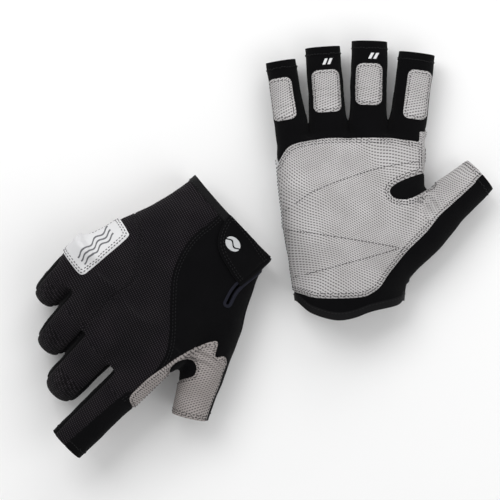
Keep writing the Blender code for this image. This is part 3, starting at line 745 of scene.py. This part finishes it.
class Nodes:
    """A short way to wire shader nodes. An input is named, or numbered as _0, _1 and so on."""

    def __init__(self, name, roughness=0.8, shine=0.3):
        self.mat = bpy.data.materials.new(name)
        self.mat.use_nodes = True
        self.tree = self.mat.node_tree
        self.shader = self.tree.nodes["Principled BSDF"]
        self.shade(Roughness=roughness, **{"Specular IOR Level": shine})

    def add(self, kind, output=0, settings=(), **inputs):
        node = self.tree.nodes.new(kind)
        for key, value in dict(settings).items():
            setattr(node, key, value)
        self.feed(node, inputs)
        return Value(self, node.outputs[output])

    def feed(self, node, inputs):
        for key, value in inputs.items():
            socket = node.inputs[int(key[1:])] if key[0] == "_" else node.inputs[key]
            if isinstance(value, Value):
                self.tree.links.new(value.socket, socket)
            else:
                socket.default_value = value

    def shade(self, **inputs):
        self.feed(self.shader, inputs)

    def colour(self, value):
        self.shade(**{"Base Color": value})

    def sheen(self, weight):
        self.shade(**{"Sheen Weight": weight})

    def bump(self, height, distance, strength=1.0):
        self.shade(Normal=self.add("ShaderNodeBump", Height=height, Distance=distance, Strength=strength))

    def math(self, operation, a, b=0.0):
        return self.add("ShaderNodeMath", settings={"operation": operation}, _0=a, _1=b)

    def wave(self, value, pitch):
        return self.math("SINE", value * (2 * math.pi / pitch))

    def uv(self):
        """The cloth's own coordinates, in millimetres: both together, then each."""
        vector = self.add("ShaderNodeUVMap", settings={"uv_map": "cloth"})
        return vector, *[self.add("ShaderNodeSeparateXYZ", output=k, _0=vector) for k in (0, 1)]

    def noise(self, vector, scale, detail=2.0, rough=0.5):
        return self.add("ShaderNodeTexNoise", Vector=vector, Scale=scale, Detail=detail, Roughness=rough)

    def ramp(self, value, low, high):
        settings = {"interpolation_type": "SMOOTHSTEP"}
        return self.add("ShaderNodeMapRange", settings=settings, _0=value, _1=low, _2=high)

    def mix(self, factor, a, b):
        return self.add("ShaderNodeMix", output=2, settings={"data_type": "RGBA"}, _0=factor, _6=a, _7=b)


def rib_knit():
    n = Nodes("rib knit", 0.95, 0.05)
    lean, rib_pitch, loop_pitch = math.radians(16), 1.45, 1.2
    vector, u, v = n.uv()
    row = v * math.cos(lean) - u * math.sin(lean) + n.noise(vector, 0.12) * 0.8
    along = u * math.cos(lean) + v * math.sin(lean)
    knit = (n.wave(row, rib_pitch) * 0.5 + 0.5) * (n.wave(along, loop_pitch) * 0.42 + 0.58)
    fibre = n.noise(vector, 3.5, 3.0, 0.7)
    patchy = n.ramp(n.noise(vector, 0.035), 0.3, 0.75)
    light = n.mix(patchy, (0.040, 0.035, 0.041, 1), (0.060, 0.052, 0.059, 1))
    # The rib pattern also sets the colour, dark in the grooves and light on the ribs: painted shade in the
    # grooves, beside the bump.
    n.colour(n.mix(knit * knit * 0.95 + fibre * 0.16, (0.0008, 0.0008, 0.0012, 1), light))
    n.sheen(0.03)
    n.bump(knit + fibre * 0.25, 0.00045, 0.9)
    return n.mat


def spandex():
    n = Nodes("spandex", 0.9, 0.06)
    pitch = 0.62
    vector, u, v = n.uv()
    weave = n.wave(u + v, pitch) * n.wave(u - v, pitch)
    fibre, patchy = n.noise(vector, 2.6, 4.0, 0.7), n.noise(vector, 0.05, 3.0)
    shade = weave * 0.14 + (fibre + patchy) * 0.42
    n.colour(n.mix(shade, (0.0009, 0.0009, 0.0012, 1), (0.0055, 0.0053, 0.0062, 1)))
    n.sheen(0.02)
    n.bump(weave * 0.4 + fibre, 0.00018, 0.8)
    return n.mat


def dotted_leather(name, painted_shade):
    """Light leather with short dark dashes in rows that wander in wide curves; the last argument paints shade
    on it.
    """
    along_pitch, across_pitch, half_dash = 1.8, 1.45, 0.32
    across_u, across_v = 0.45, 0.89  # the way across the rows

    def shaded(*colour):
        return (*[part * share for part, share in zip(colour, painted_shade)], 1)

    n = Nodes(name, 0.62, 0.3)
    vector, u, v = n.uv()
    wander = (n.noise(vector, 0.016, 0.0) - 0.5) * 26.0 + (n.noise(vector, 0.06, 0.0) - 0.5) * 2.5
    row = (u * across_u + v * across_v + wander) / across_pitch
    place = (u * across_v - v * across_u) / along_pitch + n.math("FLOOR", row) * 0.5
    along = n.math("ABSOLUTE", n.math("FRACT", place) - 0.5) * along_pitch
    across = n.math("ABSOLUTE", n.math("FRACT", row) - 0.5) * across_pitch
    past_end = n.math("MAXIMUM", along - half_dash, 0.0)
    off_dash = n.ramp(n.math("SQRT", past_end * past_end + across * across), 0.18, 0.44)
    dash = n.math("SUBTRACT", 1.0, off_dash)
    grain = n.noise(vector, 1.6, 4.0, 0.65)
    patchy = n.ramp(n.noise(vector, 0.045, 3.0), 0.3, 0.72)
    base = n.mix(patchy, shaded(0.47, 0.457, 0.455), shaded(0.58, 0.566, 0.568))
    base = n.mix(grain * 0.35, base, shaded(0.36, 0.345, 0.345))
    n.colour(n.mix(dash * 0.84, base, shaded(0.075, 0.069, 0.07)))
    n.bump(grain * 0.5 - dash, 0.0002, 0.8)
    return n.mat


def white_leather():
    n = Nodes("white leather", 0.45)
    vector, _, _ = n.uv()
    cells = n.add("ShaderNodeTexVoronoi", output="Distance", Vector=vector, Scale=1.3)
    n.colour(n.mix(n.noise(vector, 0.06), (0.70, 0.70, 0.71, 1), (0.62, 0.62, 0.63, 1)))
    n.bump(cells * 0.5 + n.noise(vector, 1.2, 4.0, 0.6), 0.00015, 0.7)
    return n.mat


def plain(name, dark, light, roughness, scale, depth, sheen=0.0, metallic=0.0):
    """A fine-grained single-colour material."""
    n = Nodes(name, roughness, 0.2)
    grain = n.noise(n.add("ShaderNodeTexCoord", output="Object"), scale, 4.0, 0.65)
    n.colour(n.mix(grain, (*dark, 1), (*light, 1)))
    n.sheen(sheen)
    n.shade(Metallic=metallic)
    n.bump(grain, depth, 0.7)
    return n.mat


def binding_tape(name, dark, light):
    n = Nodes(name, 0.65, 0.15)
    vector, u, v = n.uv()
    rib = n.wave(u + v, 0.9)
    fibre = n.noise(vector, 2.2, 3.0, 0.6)
    n.colour(n.mix(rib * 0.25 + fibre, (*dark, 1), (*light, 1)))
    n.bump(rib * 0.5 + fibre, 0.0002, 0.8)
    return n.mat


MATS = {
    "rib_knit": rib_knit(),
    "spandex": spandex(),
    "palm_leather": dotted_leather("dotted leather", (1, 1, 1)),
    # The curled glove's copy of the same leather, darker all over: painted shade, not a different leather.
    "shaded_leather": dotted_leather("shaded dotted leather", (0.66, 0.62, 0.6)),
    "patch_leather": white_leather(),
    "binding": binding_tape("binding", (0.0012, 0.0012, 0.0015), (0.0072, 0.007, 0.008)),
    "piping": binding_tape("piping", (0.003, 0.003, 0.006), (0.018, 0.019, 0.032)),
    "hook_loop": plain("hook pile", (0.002, 0.002, 0.003), (0.02, 0.02, 0.023), 0.95, 2500, 0.0006, 0.1),
    "dark_thread": plain("dark thread", (0.012, 0.011, 0.013), (0.045, 0.042, 0.045), 0.6, 3000, 0.0001),
    "black_thread": plain("black thread", (0.003, 0.003, 0.0035), (0.012, 0.0115, 0.013), 0.6, 3000, 0.0001),
    "silver": plain("silver print", (0.42, 0.43, 0.44), (0.60, 0.61, 0.62), 0.4, 1800, 0.0001, 0.0, 0.3),
    "print": plain("printed ink", (0.10, 0.10, 0.11), (0.16, 0.16, 0.17), 0.5, 1800, 0.00005),
    "white_print": plain("white ink", (0.62, 0.62, 0.63), (0.78, 0.78, 0.79), 0.5, 1800, 0.00005),
}

# ---------------------------------------------------------------- building pieces

# How far a panel stands off the form, how deep and wide it dips to its edges, and how thick it is.
KNIT = dict(lift=0.0, groove=0.6, width=0.8, thick=1.0)
LEATHER = dict(lift=0.55, groove=0.75, width=1.0, thick=1.0)
PAD = dict(lift=0.95, groove=0.6, width=0.9, thick=0.9)
PRINTED = dict(groove=0.02, width=0.3, thick=0.3, fine=2)
PILE = dict(groove=0.1, width=0.5, crumpled=False)
LEATHER_THREAD, TAB_THREAD = 0.6, 2.35  # how far stitches stand off the form


def crumple(skin, p):
    """How far cloth stands in or out of the smooth form, in millimetres."""
    f = skin.facts(p)
    soft = 0.45 * pseudo_noise(p * [1, 1, 0.6], 34, 3) + 0.16 * pseudo_noise(p, 13, 8)
    spread, thumb_pitch, finger_pitch = 6.5, 4.8, 4.2  # of the folds at each bend
    t = f["thumb_t"]
    near = np.clip((5 - np.abs(f["thumb_d"])) / 3, 0, 1) * (p[:, 0] > 40)
    near = near * np.clip(-skin.leather(p) / 4, 0, 1)
    fold = np.exp(-((t - (THUMB_SPLIT[skin.kind] + 9)) / spread) ** 2) * near
    soft += fold * 0.8 * np.sin(t * 2 * math.pi / thumb_pitch + 0.03 * f["thumb_a"] ** 2)
    for k, name in enumerate(FINGERS):
        *_, knuckle, _, curl = FINGER[skin.kind][name]
        if curl:
            knuckle += BEND_RADIUS * (math.radians(curl) / 2 - math.tan(math.radians(curl) / 2))
        own = (f["owner"] == k) & (f["t"] > -2)
        palm = np.clip(f["b"] / skin.form.tubes[name].d.mean(), -1, 1)
        on_palm, on_back = (0.5, 0.05) if curl else (0.22, 0.14)
        depth = on_palm * np.clip(palm, 0, 1) + on_back * np.clip(-palm, 0, 1)
        fold = np.exp(-((f["t"] - knuckle) / spread) ** 2)
        soft += own * fold * depth * np.sin(f["t"] * 2 * math.pi / finger_pitch)
    return soft


def cloth_uv(skin, p, zone):
    """Where points lie on the flat cloth, in millimetres: round and along a tube, or seen from above."""
    if zone == "side":
        return p[:, [2, 1]]
    if zone != "thumb" and zone not in FINGERS:
        return p[:, :2].copy()
    a, b, t = skin.offsets(p, zone)
    if zone == "thumb":
        away = -1 if skin.kind == "curled" else 1  # keeps the angle's cut off the leather
        return np.stack([np.arctan2(away * b, away * a) * THUMB_ROUND, t], 1)
    return np.stack([np.arctan2(b, a) * FINGER_ROUND, t + FINGER[skin.kind][zone][1]], 1)


def linked(name, kind, verts, faces, material):
    """A smooth mesh object, made in a glove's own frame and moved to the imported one."""
    mesh = bpy.data.meshes.new(name)
    mesh.from_pydata((verts * MM).tolist(), [], faces.tolist())
    mesh.transform(TO_ROW[kind])
    mesh.uv_layers.new(name="cloth")
    mesh.polygons.foreach_set("use_smooth", np.ones(len(faces), bool))
    mesh.materials.append(MATS[material])
    obj = bpy.data.objects.new(name, mesh)
    bpy.context.scene.collection.objects.link(obj)
    return obj


def solid(name, kind, outer, inner, tris, normals, uv, material):
    """A thick sheet from an outer and an inner layer, closed along its open edges."""
    n = len(outer)
    edges = np.vstack([tris[:, [0, 1]], tris[:, [1, 2]], tris[:, [2, 0]]])
    key = edges.min(1) * n + edges.max(1)
    _, first, count = np.unique(key, return_index=True, return_counts=True)
    rim = edges[first[count == 1]]
    faces = np.vstack([
        tris,
        tris[:, ::-1] + n,
        np.stack([rim[:, 1], rim[:, 0], rim[:, 0] + n], 1),
        np.stack([rim[:, 1], rim[:, 0] + n, rim[:, 1] + n], 1),
    ])
    obj = linked(name, kind, np.vstack([outer, inner]), faces, material)
    mesh = obj.data
    loops = np.empty(len(mesh.loops), int)
    mesh.loops.foreach_get("vertex_index", loops)
    mesh.uv_layers["cloth"].data.foreach_set("uv", np.vstack([uv, uv])[loops].ravel())
    turn = np.array(TO_ROW[kind].to_3x3())
    layer_normals = (np.vstack([normals, -normals]) @ turn.T)[loops]
    face_normals = np.empty(len(faces) * 3)
    mesh.polygons.foreach_get("normal", face_normals)
    face_of_loop = np.arange(len(loops)) // 3
    on_rim = face_of_loop >= 2 * len(tris)
    face_normals = face_normals.reshape(-1, 3)[face_of_loop]
    mesh.normals_split_custom_set(np.where(on_rim[:, None], face_normals, layer_normals).tolist())
    return obj


def surface_normals(verts, tris, guide):
    """Smooth normals of a displaced layer, area weighted."""
    a, b, c = verts[tris[:, 0]], verts[tris[:, 1]], verts[tris[:, 2]]
    face = np.cross(b - a, c - a)
    out = np.zeros_like(verts)
    for k in range(3):
        np.add.at(out, tris[:, k], face)
    size = np.linalg.norm(out, axis=1)
    out = np.where(size[:, None] > 1e-9, out / np.maximum(size, 1e-9)[:, None], guide)
    return np.where((np.sum(out * guide, axis=1) < 0.2)[:, None], guide, out)


class Maker:
    """Cuts the skin of one glove into zones and makes the pieces of each."""

    def __init__(self, kind):
        self.kind = kind
        self.skin = skin = Skin(kind)
        mesh = skin.mesh
        for name in (*FINGERS, "thumb"):
            mesh = cut(mesh, lambda p, name=name: skin.tip_trim(p, name))
        mesh = cut(mesh, flip(skin.cuff_line))
        self.zones = {}
        for name in FINGERS:
            own = lambda p, name=name: skin.finger_zone(p, name)
            self.zones[name] = cut(mesh, own)
            mesh = cut(mesh, flip(own))
        self.zones["thumb"] = cut(mesh, skin.thumb_zone)
        self.zones["hand"] = self.zones["strap"] = cut(mesh, flip(skin.thumb_zone))

    def hang(self, obj, zone):
        """Makes a piece of the hand zone follow the hand's body; a piece of any other zone only has its place
        baked into its mesh.
        """
        if zone in FINGERS:
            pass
        elif zone == "thumb":
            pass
        elif zone == "strap":
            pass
        else:
            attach(obj, f"{self.kind}_hand")
            return
        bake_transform(obj)

    def piece(self, name, zone, seams, material, replaces=None, lift=0.0, groove=0.55, width=1.1, thick=1.0,
              source=None, uv_zone=None, slot=None, crumpled=True, fine=0):
        """One panel: the part of a zone inside all the seam functions.

        It replaces the CAD nodes named, or the node of its own name if none are. Its mesh can be made finer
        first, a number of times.
        """
        # On the curled glove the leather takes its darker copy: painted shade.
        if material == "palm_leather" and self.kind == "curled":
            material = "shaded_leather"
        mesh = source or self.zones[zone]
        for _ in range(fine):
            mesh = refine(cut(mesh, shift(seams[0], -3 * CELL)))
        mesh = cut(mesh, *seams)
        v, n, tris = mesh
        inside = np.max([s(v) for s in seams], axis=0)
        rise = (lift(v) if callable(lift) else lift) - groove * np.exp(-((inside / width) ** 2))
        if crumpled:
            rise = rise + crumple(self.skin, v)
        outer = v + n * rise[:, None]
        inner = outer - n * thick
        normals = surface_normals(outer, tris, n)
        uv = cloth_uv(self.skin, v, uv_zone or zone)
        obj = solid(f"{self.kind}_{name}_cloth", self.kind, outer, inner, tris, normals, uv, material)
        nodes = (name,) if replaces is None else replaces
        if nodes:
            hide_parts(*[f"{self.kind}_{node}" for node in nodes])
        self.hang(obj, zone)
        return mesh

    def fingers(self):
        skin = self.skin
        for name in FINGERS:
            rib = both(skin.rib_side, flip(skin.seam("B"))) if name == "index" else skin.rib_side
            self.piece(f"{name}_back", name, [rib], "rib_knit", **KNIT)
            self.piece(f"{name}_front", name, [flip(rib)], "spandex", **KNIT)
            pad = self.pad_area(name)
            made = self.piece(f"{name}_pad", name, [pad], "palm_leather", **PAD)
            self.stitches(f"{name}_pad_stitch", name, made, pad, [-1.7], "dark_thread", PAD["lift"])
            self.hem(name, self.zones[name], skin.form.tubes[name].tip)
            if name in ("ring", "middle"):
                self.tip_mark(name, skin.form.tubes[name].tip)

    def pad_area(self, name):
        """Negative on a stall's pad, a rectangle with round corners on the palm side."""
        tip, half, (near, far), corner = self.skin.form.tubes[name].tip, PAD_HALF[name], PAD_ENDS[name], 4.0

        def area(p):
            a, b, t = self.skin.offsets(p, name)
            across = np.abs(a - PAD_SHIFT[name]) - half + corner
            along = np.abs(t - (tip - (near + far) / 2)) - (far - near) / 2 + corner
            outside = np.hypot(np.maximum(across, 0), np.maximum(along, 0))
            inside = np.minimum(np.maximum(across, along), 0)
            return np.maximum(outside + inside - corner, 3 - b)

        return area

    def hem(self, name, mesh, tip):
        """The zigzag row near the open end of a stall."""
        pitch, height, from_tip = 2.4, 0.75, 4.6

        def zigzag(p):
            a, b, t = self.skin.offsets(p, name)
            wave = np.abs((np.arctan2(b, a) * FINGER_ROUND / pitch) % 1 - 0.5) * 4 - 1
            return t - (tip - from_tip) - wave * height

        self.stitches(f"{name}_hem_stitch", name, mesh, zigzag, [0.0], "black_thread", 0.12, length=1.5,
                      gap=0.35)

    def tip_mark(self, name, tip):
        """Two small slanted bars printed between the pad and the hem."""

        def bars(p):
            a, b, t = self.skin.offsets(p, name)
            along, across = t - (tip - 9.6), a - 2.2
            lean = across - 0.5 * along
            bar = np.minimum(np.abs(lean - 1.6), np.abs(lean + 1.6)) - 0.95
            return np.max([bar, np.abs(along) - 1.9, 3 - b], axis=0)

        self.piece(f"{name}_tip_mark", name, [bars], "white_print", (), lift=0.12, slot="patch_leather",
                   **PRINTED)

    def thumb(self):
        skin, tip, mesh = self.skin, self.skin.form.thumb.tip, self.zones["thumb"]
        inner = both(skin.leather, flip(skin.notch))
        outer = both(flip(skin.leather), flip(skin.notch))
        self.piece("thumb_inner", "thumb", [inner], "palm_leather", **LEATHER)
        self.piece("thumb_outer", "thumb", [outer], "spandex", **KNIT)
        if self.kind == "curled":
            self.piece("thumb_web_end", "thumb", [skin.notch], "spandex", (), **KNIT)
        self.hem("thumb", cut(mesh, flip(skin.leather)), tip)
        made = cut(mesh, inner)
        to_end = lambda p: skin.facts(p)["thumb_t"] - tip
        self.stitches("thumb_stitch", "thumb", made, inner, [-1.5], "dark_thread", LEATHER_THREAD)
        self.stitches("thumb_end_stitch", "thumb", made, to_end, [-1.6, -3.2], "dark_thread", LEATHER_THREAD)

    def hand(self):
        skin = self.skin
        leather, notch, slit = skin.leather, skin.notch, skin.slit
        past_hem = shift(flip(skin.cuff_line), 5.2)
        body = cut(self.zones["hand"], past_hem)
        self.piece("cuff_binding", "hand", [flip(past_hem), flip(slit)], "binding", lift=0.35, groove=0.5,
                   width=0.9, thick=1.5)
        palm_leather = both(leather, flip(notch), flip(self.strip))
        made = self.piece("palm_panel", "hand", [palm_leather], "palm_leather", source=body, **LEATHER)
        self.stitches("palm_stitch", "hand", made, palm_leather, [-1.5, -3.1], "dark_thread", LEATHER_THREAD)
        self.quilting(made)
        strip = both(leather, flip(notch), self.strip)
        made = self.piece("index_side_strip", "hand", [strip], "palm_leather", source=body,
                          uv_zone="side" if self.kind == "open" else None, **LEATHER)
        self.stitches("strip_stitch", "hand", made, strip, [-1.4], "dark_thread", LEATHER_THREAD)
        self.piece("thumb_web_gusset", "hand", [notch], "spandex", (), source=body, **KNIT)
        rest = cut(body, flip(leather), flip(notch))
        rib = both(flip(skin.seam("B")), skin.rib_side)
        for name, side in (("outer", flip(skin.seam("A"))), ("inner", skin.seam("A"))):
            panel = both(rib, side, flip(leather))
            self.piece(f"back_panel_{name}", "hand", [panel], "rib_knit", source=rest, **KNIT)
        fronts = both(flip(rib), lambda p: 80 - p[:, 1], flip(leather), self.front_zone)
        roots = [f"{name}_root" for name in FINGERS]
        self.piece("finger_front_panel", "hand", [fronts], "spandex", roots, source=rest, **KNIT)
        plain_side = both(flip(rib), flip(leather), flip(self.front_zone), flip(slit))
        on_palm = flip(shift(skin.palmward, 3.5))
        self.piece("wrist_panel", "hand", [both(plain_side, flip(on_palm))], "spandex", source=rest, **KNIT)
        self.piece("heel_panel", "hand", [both(plain_side, on_palm)], "spandex", ("heel_panel", "thumb_root"),
                   source=rest, **KNIT)
        beside_slit = both(shift(slit, -1.8), flip(slit))
        self.piece("slit_binding", "hand", [beside_slit], "piping", (), lift=0.95, groove=0.7, width=0.7,
                   thick=1.6)
        self.patch()
        self.seam_rows(rest)
        self.strap()

    def patch(self):
        """The white patch over the little knuckle, with three plain wavy stripes."""
        skin = self.skin
        centre_y = 73.5
        cover = lambda p: np.maximum(skin.outline("patch")(p), skin.palmward(p) - 1.5)
        made = self.piece("knuckle_patch", "hand", [cover], "patch_leather", lift=1.15, groove=0.8, width=1.0,
                          thick=1.1)
        self.stitches("patch_stitch", "hand", made, cover, [-1.4, -2.9], "dark_thread", 1.2)

        def waves(p):
            x, y = p[:, 0], skin.plan(p)[:, 1] - centre_y
            rows = [np.abs(x + at - 0.9 * np.sin(y * 0.62)) - 0.5 for at in (41.8, 44.6, 47.4)]
            return np.max([np.min(rows, axis=0), np.abs(y) - 13, skin.palmward(p) + 1], axis=0)

        self.piece("patch_motif", "hand", [waves], "print", (), lift=1.22, slot="patch_leather", **PRINTED)

    def front_zone(self, p):
        """Negative where the plain front of the fingers' roots is: above the palm leather."""
        level = 100 if self.kind == "open" else 92
        top = np.where(self.skin.palm_side(p) > 0, -self.skin.seam("top")(p), level - p[:, 1])
        return np.maximum(top, level - 25 - p[:, 1])

    def strip(self, p):
        """Negative on the leather's separate strip along the index side and the back of the thumb."""
        edge = 46.7 if self.kind == "open" else 45.5
        upper = np.maximum(edge - p[:, 0], 72 - p[:, 1])
        return np.minimum(upper, self.skin.palmward(p) - 1.0) if self.kind == "curled" else upper

    def quilting(self, made):
        """Rows of decorative stitching across the palm."""
        for k, line in enumerate(KNUCKLE_STITCH[self.kind]):
            path = smooth_curve(line, step=1.0) if k == 0 else np.array(line, float)
            row = lambda p, path=path: line_distance(p[:, :2], path)
            near = lambda p, row=row: np.abs(row(p)) - 6
            ends = path[[0, -1]]
            to_ends = lambda p, ends=ends: np.linalg.norm(p[:, None, :2] - ends, axis=2).min(axis=1)
            inner = lambda p, to_ends=to_ends: np.where(to_ends(p) < 2.0, 1.0, -1.0)
            self.stitches(f"palm_quilt_{k}", "hand", cut(made, near, inner), row, [0.0], "dark_thread",
                          LEATHER_THREAD)

    def seam_rows(self, rest):
        """Black top stitching beside the seams of the back, and round the cuff."""
        skin = self.skin
        area = cut(rest, shift(skin.palmward, 3))
        self.stitches("seam_a_stitch", "hand", area, skin.seam("A"), [-1.6, 1.6], "black_thread", 0.0)
        self.stitches("seam_b_stitch", "hand", area, skin.seam("B"), [-1.8, -3.4], "black_thread", 0.0)
        self.stitches("cuff_stitch", "hand", self.zones["hand"], skin.cuff_line, [4.2], "black_thread", 0.45)

    def strap(self):
        """The tab that peels, the end it is sewn down by, its two pads and its emblem."""
        skin = self.skin
        level = CUFF[self.kind][0]
        centre = 12.5
        tab = smooth_curve([(x, y + level) for x, y in TAB], closed=True)
        height = lambda p: skin.plan(p)[:, 1] - level  # up from the cuff

        def outline(p):
            return np.maximum(line_distance(skin.plan(p), tab, closed=True), skin.palmward(p) + 0.5)

        def moving(p):
            return np.maximum(outline(p), p[:, 0] - TAB_END)

        def anchor(p):
            off_slit = -skin.beside_slit(p) - 1.6
            d = np.max([np.abs(height(p) - 12.5) - 13, TAB_END + 0.1 - p[:, 0], off_slit], axis=0)
            return np.maximum(d, skin.palmward(p) + 2.5) if self.kind == "open" else d

        def anchor_lift(p):
            return 2.3 - 1.3 * np.clip((p[:, 0] - 33) / 4, 0, 1)

        def hook(p):
            across = np.abs(p[:, 0] - centre) - 10
            return np.max([across, np.abs(height(p) - 12) - 6.6, outline(p) + 2.2], axis=0)

        def badge(p):
            x, y = p[:, 0] - centre, height(p) - 11.5
            wave = np.abs(y - np.sin(x * 0.8)) - 0.5
            return np.max([np.hypot(x / 1.3, y) - 4.0, -wave, skin.palmward(p)], axis=0)

        made = self.piece("strap", "strap", [moving], "spandex", lift=2.3, groove=0.7, width=1.0, thick=1.1,
                          crumpled=False)
        self.stitches("strap_stitch", "strap", made, outline, [-1.5, -3.1], "black_thread", TAB_THREAD,
                      crumpled=False)
        self.piece("strap_anchor", "hand", [anchor], "spandex", lift=anchor_lift, groove=0.8, width=1.4,
                   thick=1.1, crumpled=False)
        self.piece("hook_pad", "strap", [both(hook, skin.palmward)], "hook_loop", lift=1.1, thick=0.6, **PILE)
        self.piece("loop_pad", "hand", [both(shift(hook, -0.8), skin.palmward)], "hook_loop", (), lift=0.42,
                   thick=0.4, **PILE)
        self.piece("strap_badge", "strap", [badge], "silver", (), lift=2.45, groove=0.1, width=0.4,
                   thick=0.25, fine=2, slot="hook_loop", crumpled=False)

    def stitches(self, name, zone, mesh, field, levels, material, lift, length=1.4, gap=0.8, radius=0.22,
                 crumpled=True):
        """Short thread capsules along the lines where a field has given values."""
        values = field(mesh[0])
        lines = [line for level in levels for line in contour(mesh, values - level)]
        spots = np.array([spot for line in lines for spot in along_line(line, length, gap)])
        if not len(spots):
            return
        at, way, up = spots[:, 0], spots[:, 1], spots[:, 2]
        rise = lift + (crumple(self.skin, at) if crumpled else 0) + radius * 0.25
        at = at + up * np.broadcast_to(rise, len(at))[:, None]
        side = np.cross(way, up)
        verts, faces = thread_template()
        along, across, out = verts.T[:, None, :, None]
        flattened = 1.15  # a thread is this much wider than it is high
        pts = (at[:, None] + way[:, None] * along * length / 2 + side[:, None] * across * radius * flattened
               + up[:, None] * out * radius)
        faces = (faces[None] + np.arange(len(at))[:, None, None] * len(verts)).reshape(-1, 4)
        obj = linked(f"{self.kind}_{name}", self.kind, pts.reshape(-1, 3), faces, material)
        self.hang(obj, zone)


def thread_template():
    """A thread with six sides and four rings, as verts (along, across, up) and quads. Its ends dip."""
    sides, rings = 6, ((-1.0, 0.35), (-0.7, 1.0), (0.7, 1.0), (1.0, 0.35))
    verts, faces = [], []
    for along, size in rings:
        for k in range(sides):
            angle = math.tau * k / sides
            verts.append((along, math.cos(angle) * size, math.sin(angle) * size - (1 - size) * 0.8))
    for low in range(0, sides * (len(rings) - 1), sides):
        for k in range(sides):
            after = (k + 1) % sides
            faces.append((low + k, low + after, low + sides + after, low + sides + k))
    return np.array(verts), np.array(faces)


def contour(mesh, s):
    """Chains of (point, normal) where s is zero on a triangle mesh."""
    v, n, tris = mesh
    inside = s < 0
    mixed = tris[(inside[tris].sum(1) % 3) != 0]
    if not len(mixed):
        return []
    links = {}
    for tri in mixed:
        ends = [(min(a, b), max(a, b)) for a, b in zip(tri, np.roll(tri, -1)) if inside[a] != inside[b]]
        if len(ends) == 2:
            links.setdefault(ends[0], []).append(ends[1])
            links.setdefault(ends[1], []).append(ends[0])
    chains, seen = [], set()
    starts = [k for k, ways in links.items() if len(ways) == 1] + list(links)
    for start in starts:
        if start in seen:
            continue
        chain, here = [start], start
        seen.add(start)
        while True:
            onward = [k for k in links[here] if k not in seen]
            if not onward:
                break
            here = onward[0]
            seen.add(here)
            chain.append(here)
        if len(chain) > 3:
            closed = chain[0] in links[chain[-1]]
            pairs = np.array(chain + ([chain[0]] if closed else []))
            a, b = pairs[:, 0], pairs[:, 1]
            t = (s[a] / (s[a] - s[b]))[:, None]
            up = n[a] + (n[b] - n[a]) * t
            chains.append((v[a] + (v[b] - v[a]) * t, up / np.linalg.norm(up, axis=1)[:, None]))
    return chains


def along_line(line, length, gap):
    """Stitch places along a chain: point, direction and normal."""
    points, normals = line
    if len(points) > 8:
        kernel = np.ones(5) / 5
        points = np.stack([np.convolve(np.pad(c, 2, mode="edge"), kernel, "valid") for c in points.T], 1)
    step = np.linalg.norm(np.diff(points, axis=0), axis=1)
    s = np.concatenate([[0], np.cumsum(step)])
    if s[-1] < length * 1.5:
        return []
    count = int(s[-1] / (length + gap))
    places = (np.arange(count) + 0.5) * s[-1] / count
    at = lambda q: np.stack([np.interp(q, s, c) for c in points.T], 1)
    way = unit(at(places + length / 2) - at(places - length / 2))
    up = np.stack([np.interp(places, s, c) for c in normals.T], 1)
    up = unit(up - way * np.sum(up * way, axis=1)[:, None])
    return list(zip(at(places), way, up))


# ---------------------------------------------------------------- stage, light and camera

FLOOR_LEVEL = -0.0006  # just under the lowest cloth, which stands a little proud of the solids
VIEW_WIDTH, GLOVE_TOP = 0.32, 0.02  # the photo shows this width at about this height
CAMERA_FROM_KNUCKLE = (-0.1037, -0.1003)  # where the camera stands, from the open glove's index knuckle


def stage():
    """A pale floor, soft studio light and a camera that looks straight down, as the photo's does."""
    mesh = bpy.data.meshes.new("floor")
    half = 3.0
    corners = [(-half, -half, 0), (half, -half, 0), (half, half, 0), (-half, half, 0)]
    mesh.from_pydata(corners, [], [(0, 1, 2, 3)])
    floor = bpy.data.objects.new("floor", mesh)
    floor.location.z = FLOOR_LEVEL
    bpy.context.scene.collection.objects.link(floor)
    n = Nodes("pale floor", 0.9)
    grain = n.noise(n.add("ShaderNodeTexCoord", output="Object"), 9.0)
    n.colour(n.mix(grain, (0.92, 0.92, 0.92, 1), (0.95, 0.95, 0.95, 1)))
    mesh.materials.append(n.mat)
    world = bpy.data.worlds.new("studio")
    world.use_nodes = True
    background = world.node_tree.nodes["Background"]
    background.inputs["Color"].default_value = (1, 1, 1, 1)
    background.inputs["Strength"].default_value = 0.5
    bpy.context.scene.world = world
    for name, place, size, energy in (
        ("key", (-0.55, 0.75, 1.25), 0.9, 10),
        ("fill", (0.8, -0.35, 1.1), 1.1, 4.5),
        ("rim", (0.25, 0.95, 0.7), 0.8, 3.5),
    ):
        light = bpy.data.lights.new(name, "AREA")
        light.size = size
        light.energy = energy
        obj = bpy.data.objects.new(name, light)
        obj.location = place
        obj.rotation_euler = (-Vector(place)).to_track_quat("-Z", "Y").to_euler()
        bpy.context.scene.collection.objects.link(obj)
    camera = bpy.data.cameras.new("camera")
    camera.lens = 175
    camera.sensor_width = 36
    camera.clip_end = 20
    obj = bpy.data.objects.new("camera", camera)
    knuckle = joint_place("open_index_knuckle")
    height = GLOVE_TOP + VIEW_WIDTH * camera.lens / camera.sensor_width
    obj.location = (knuckle.x + CAMERA_FROM_KNUCKLE[0], knuckle.y + CAMERA_FROM_KNUCKLE[1], height)
    bpy.context.scene.collection.objects.link(obj)
    bpy.context.scene.camera = obj


stage()
for kind in ("curled", "open"):
    maker = Maker(kind)
    maker.hand()
    maker.fingers()
    maker.thumb()

view = bpy.context.scene.view_settings
view.view_transform = "Standard"
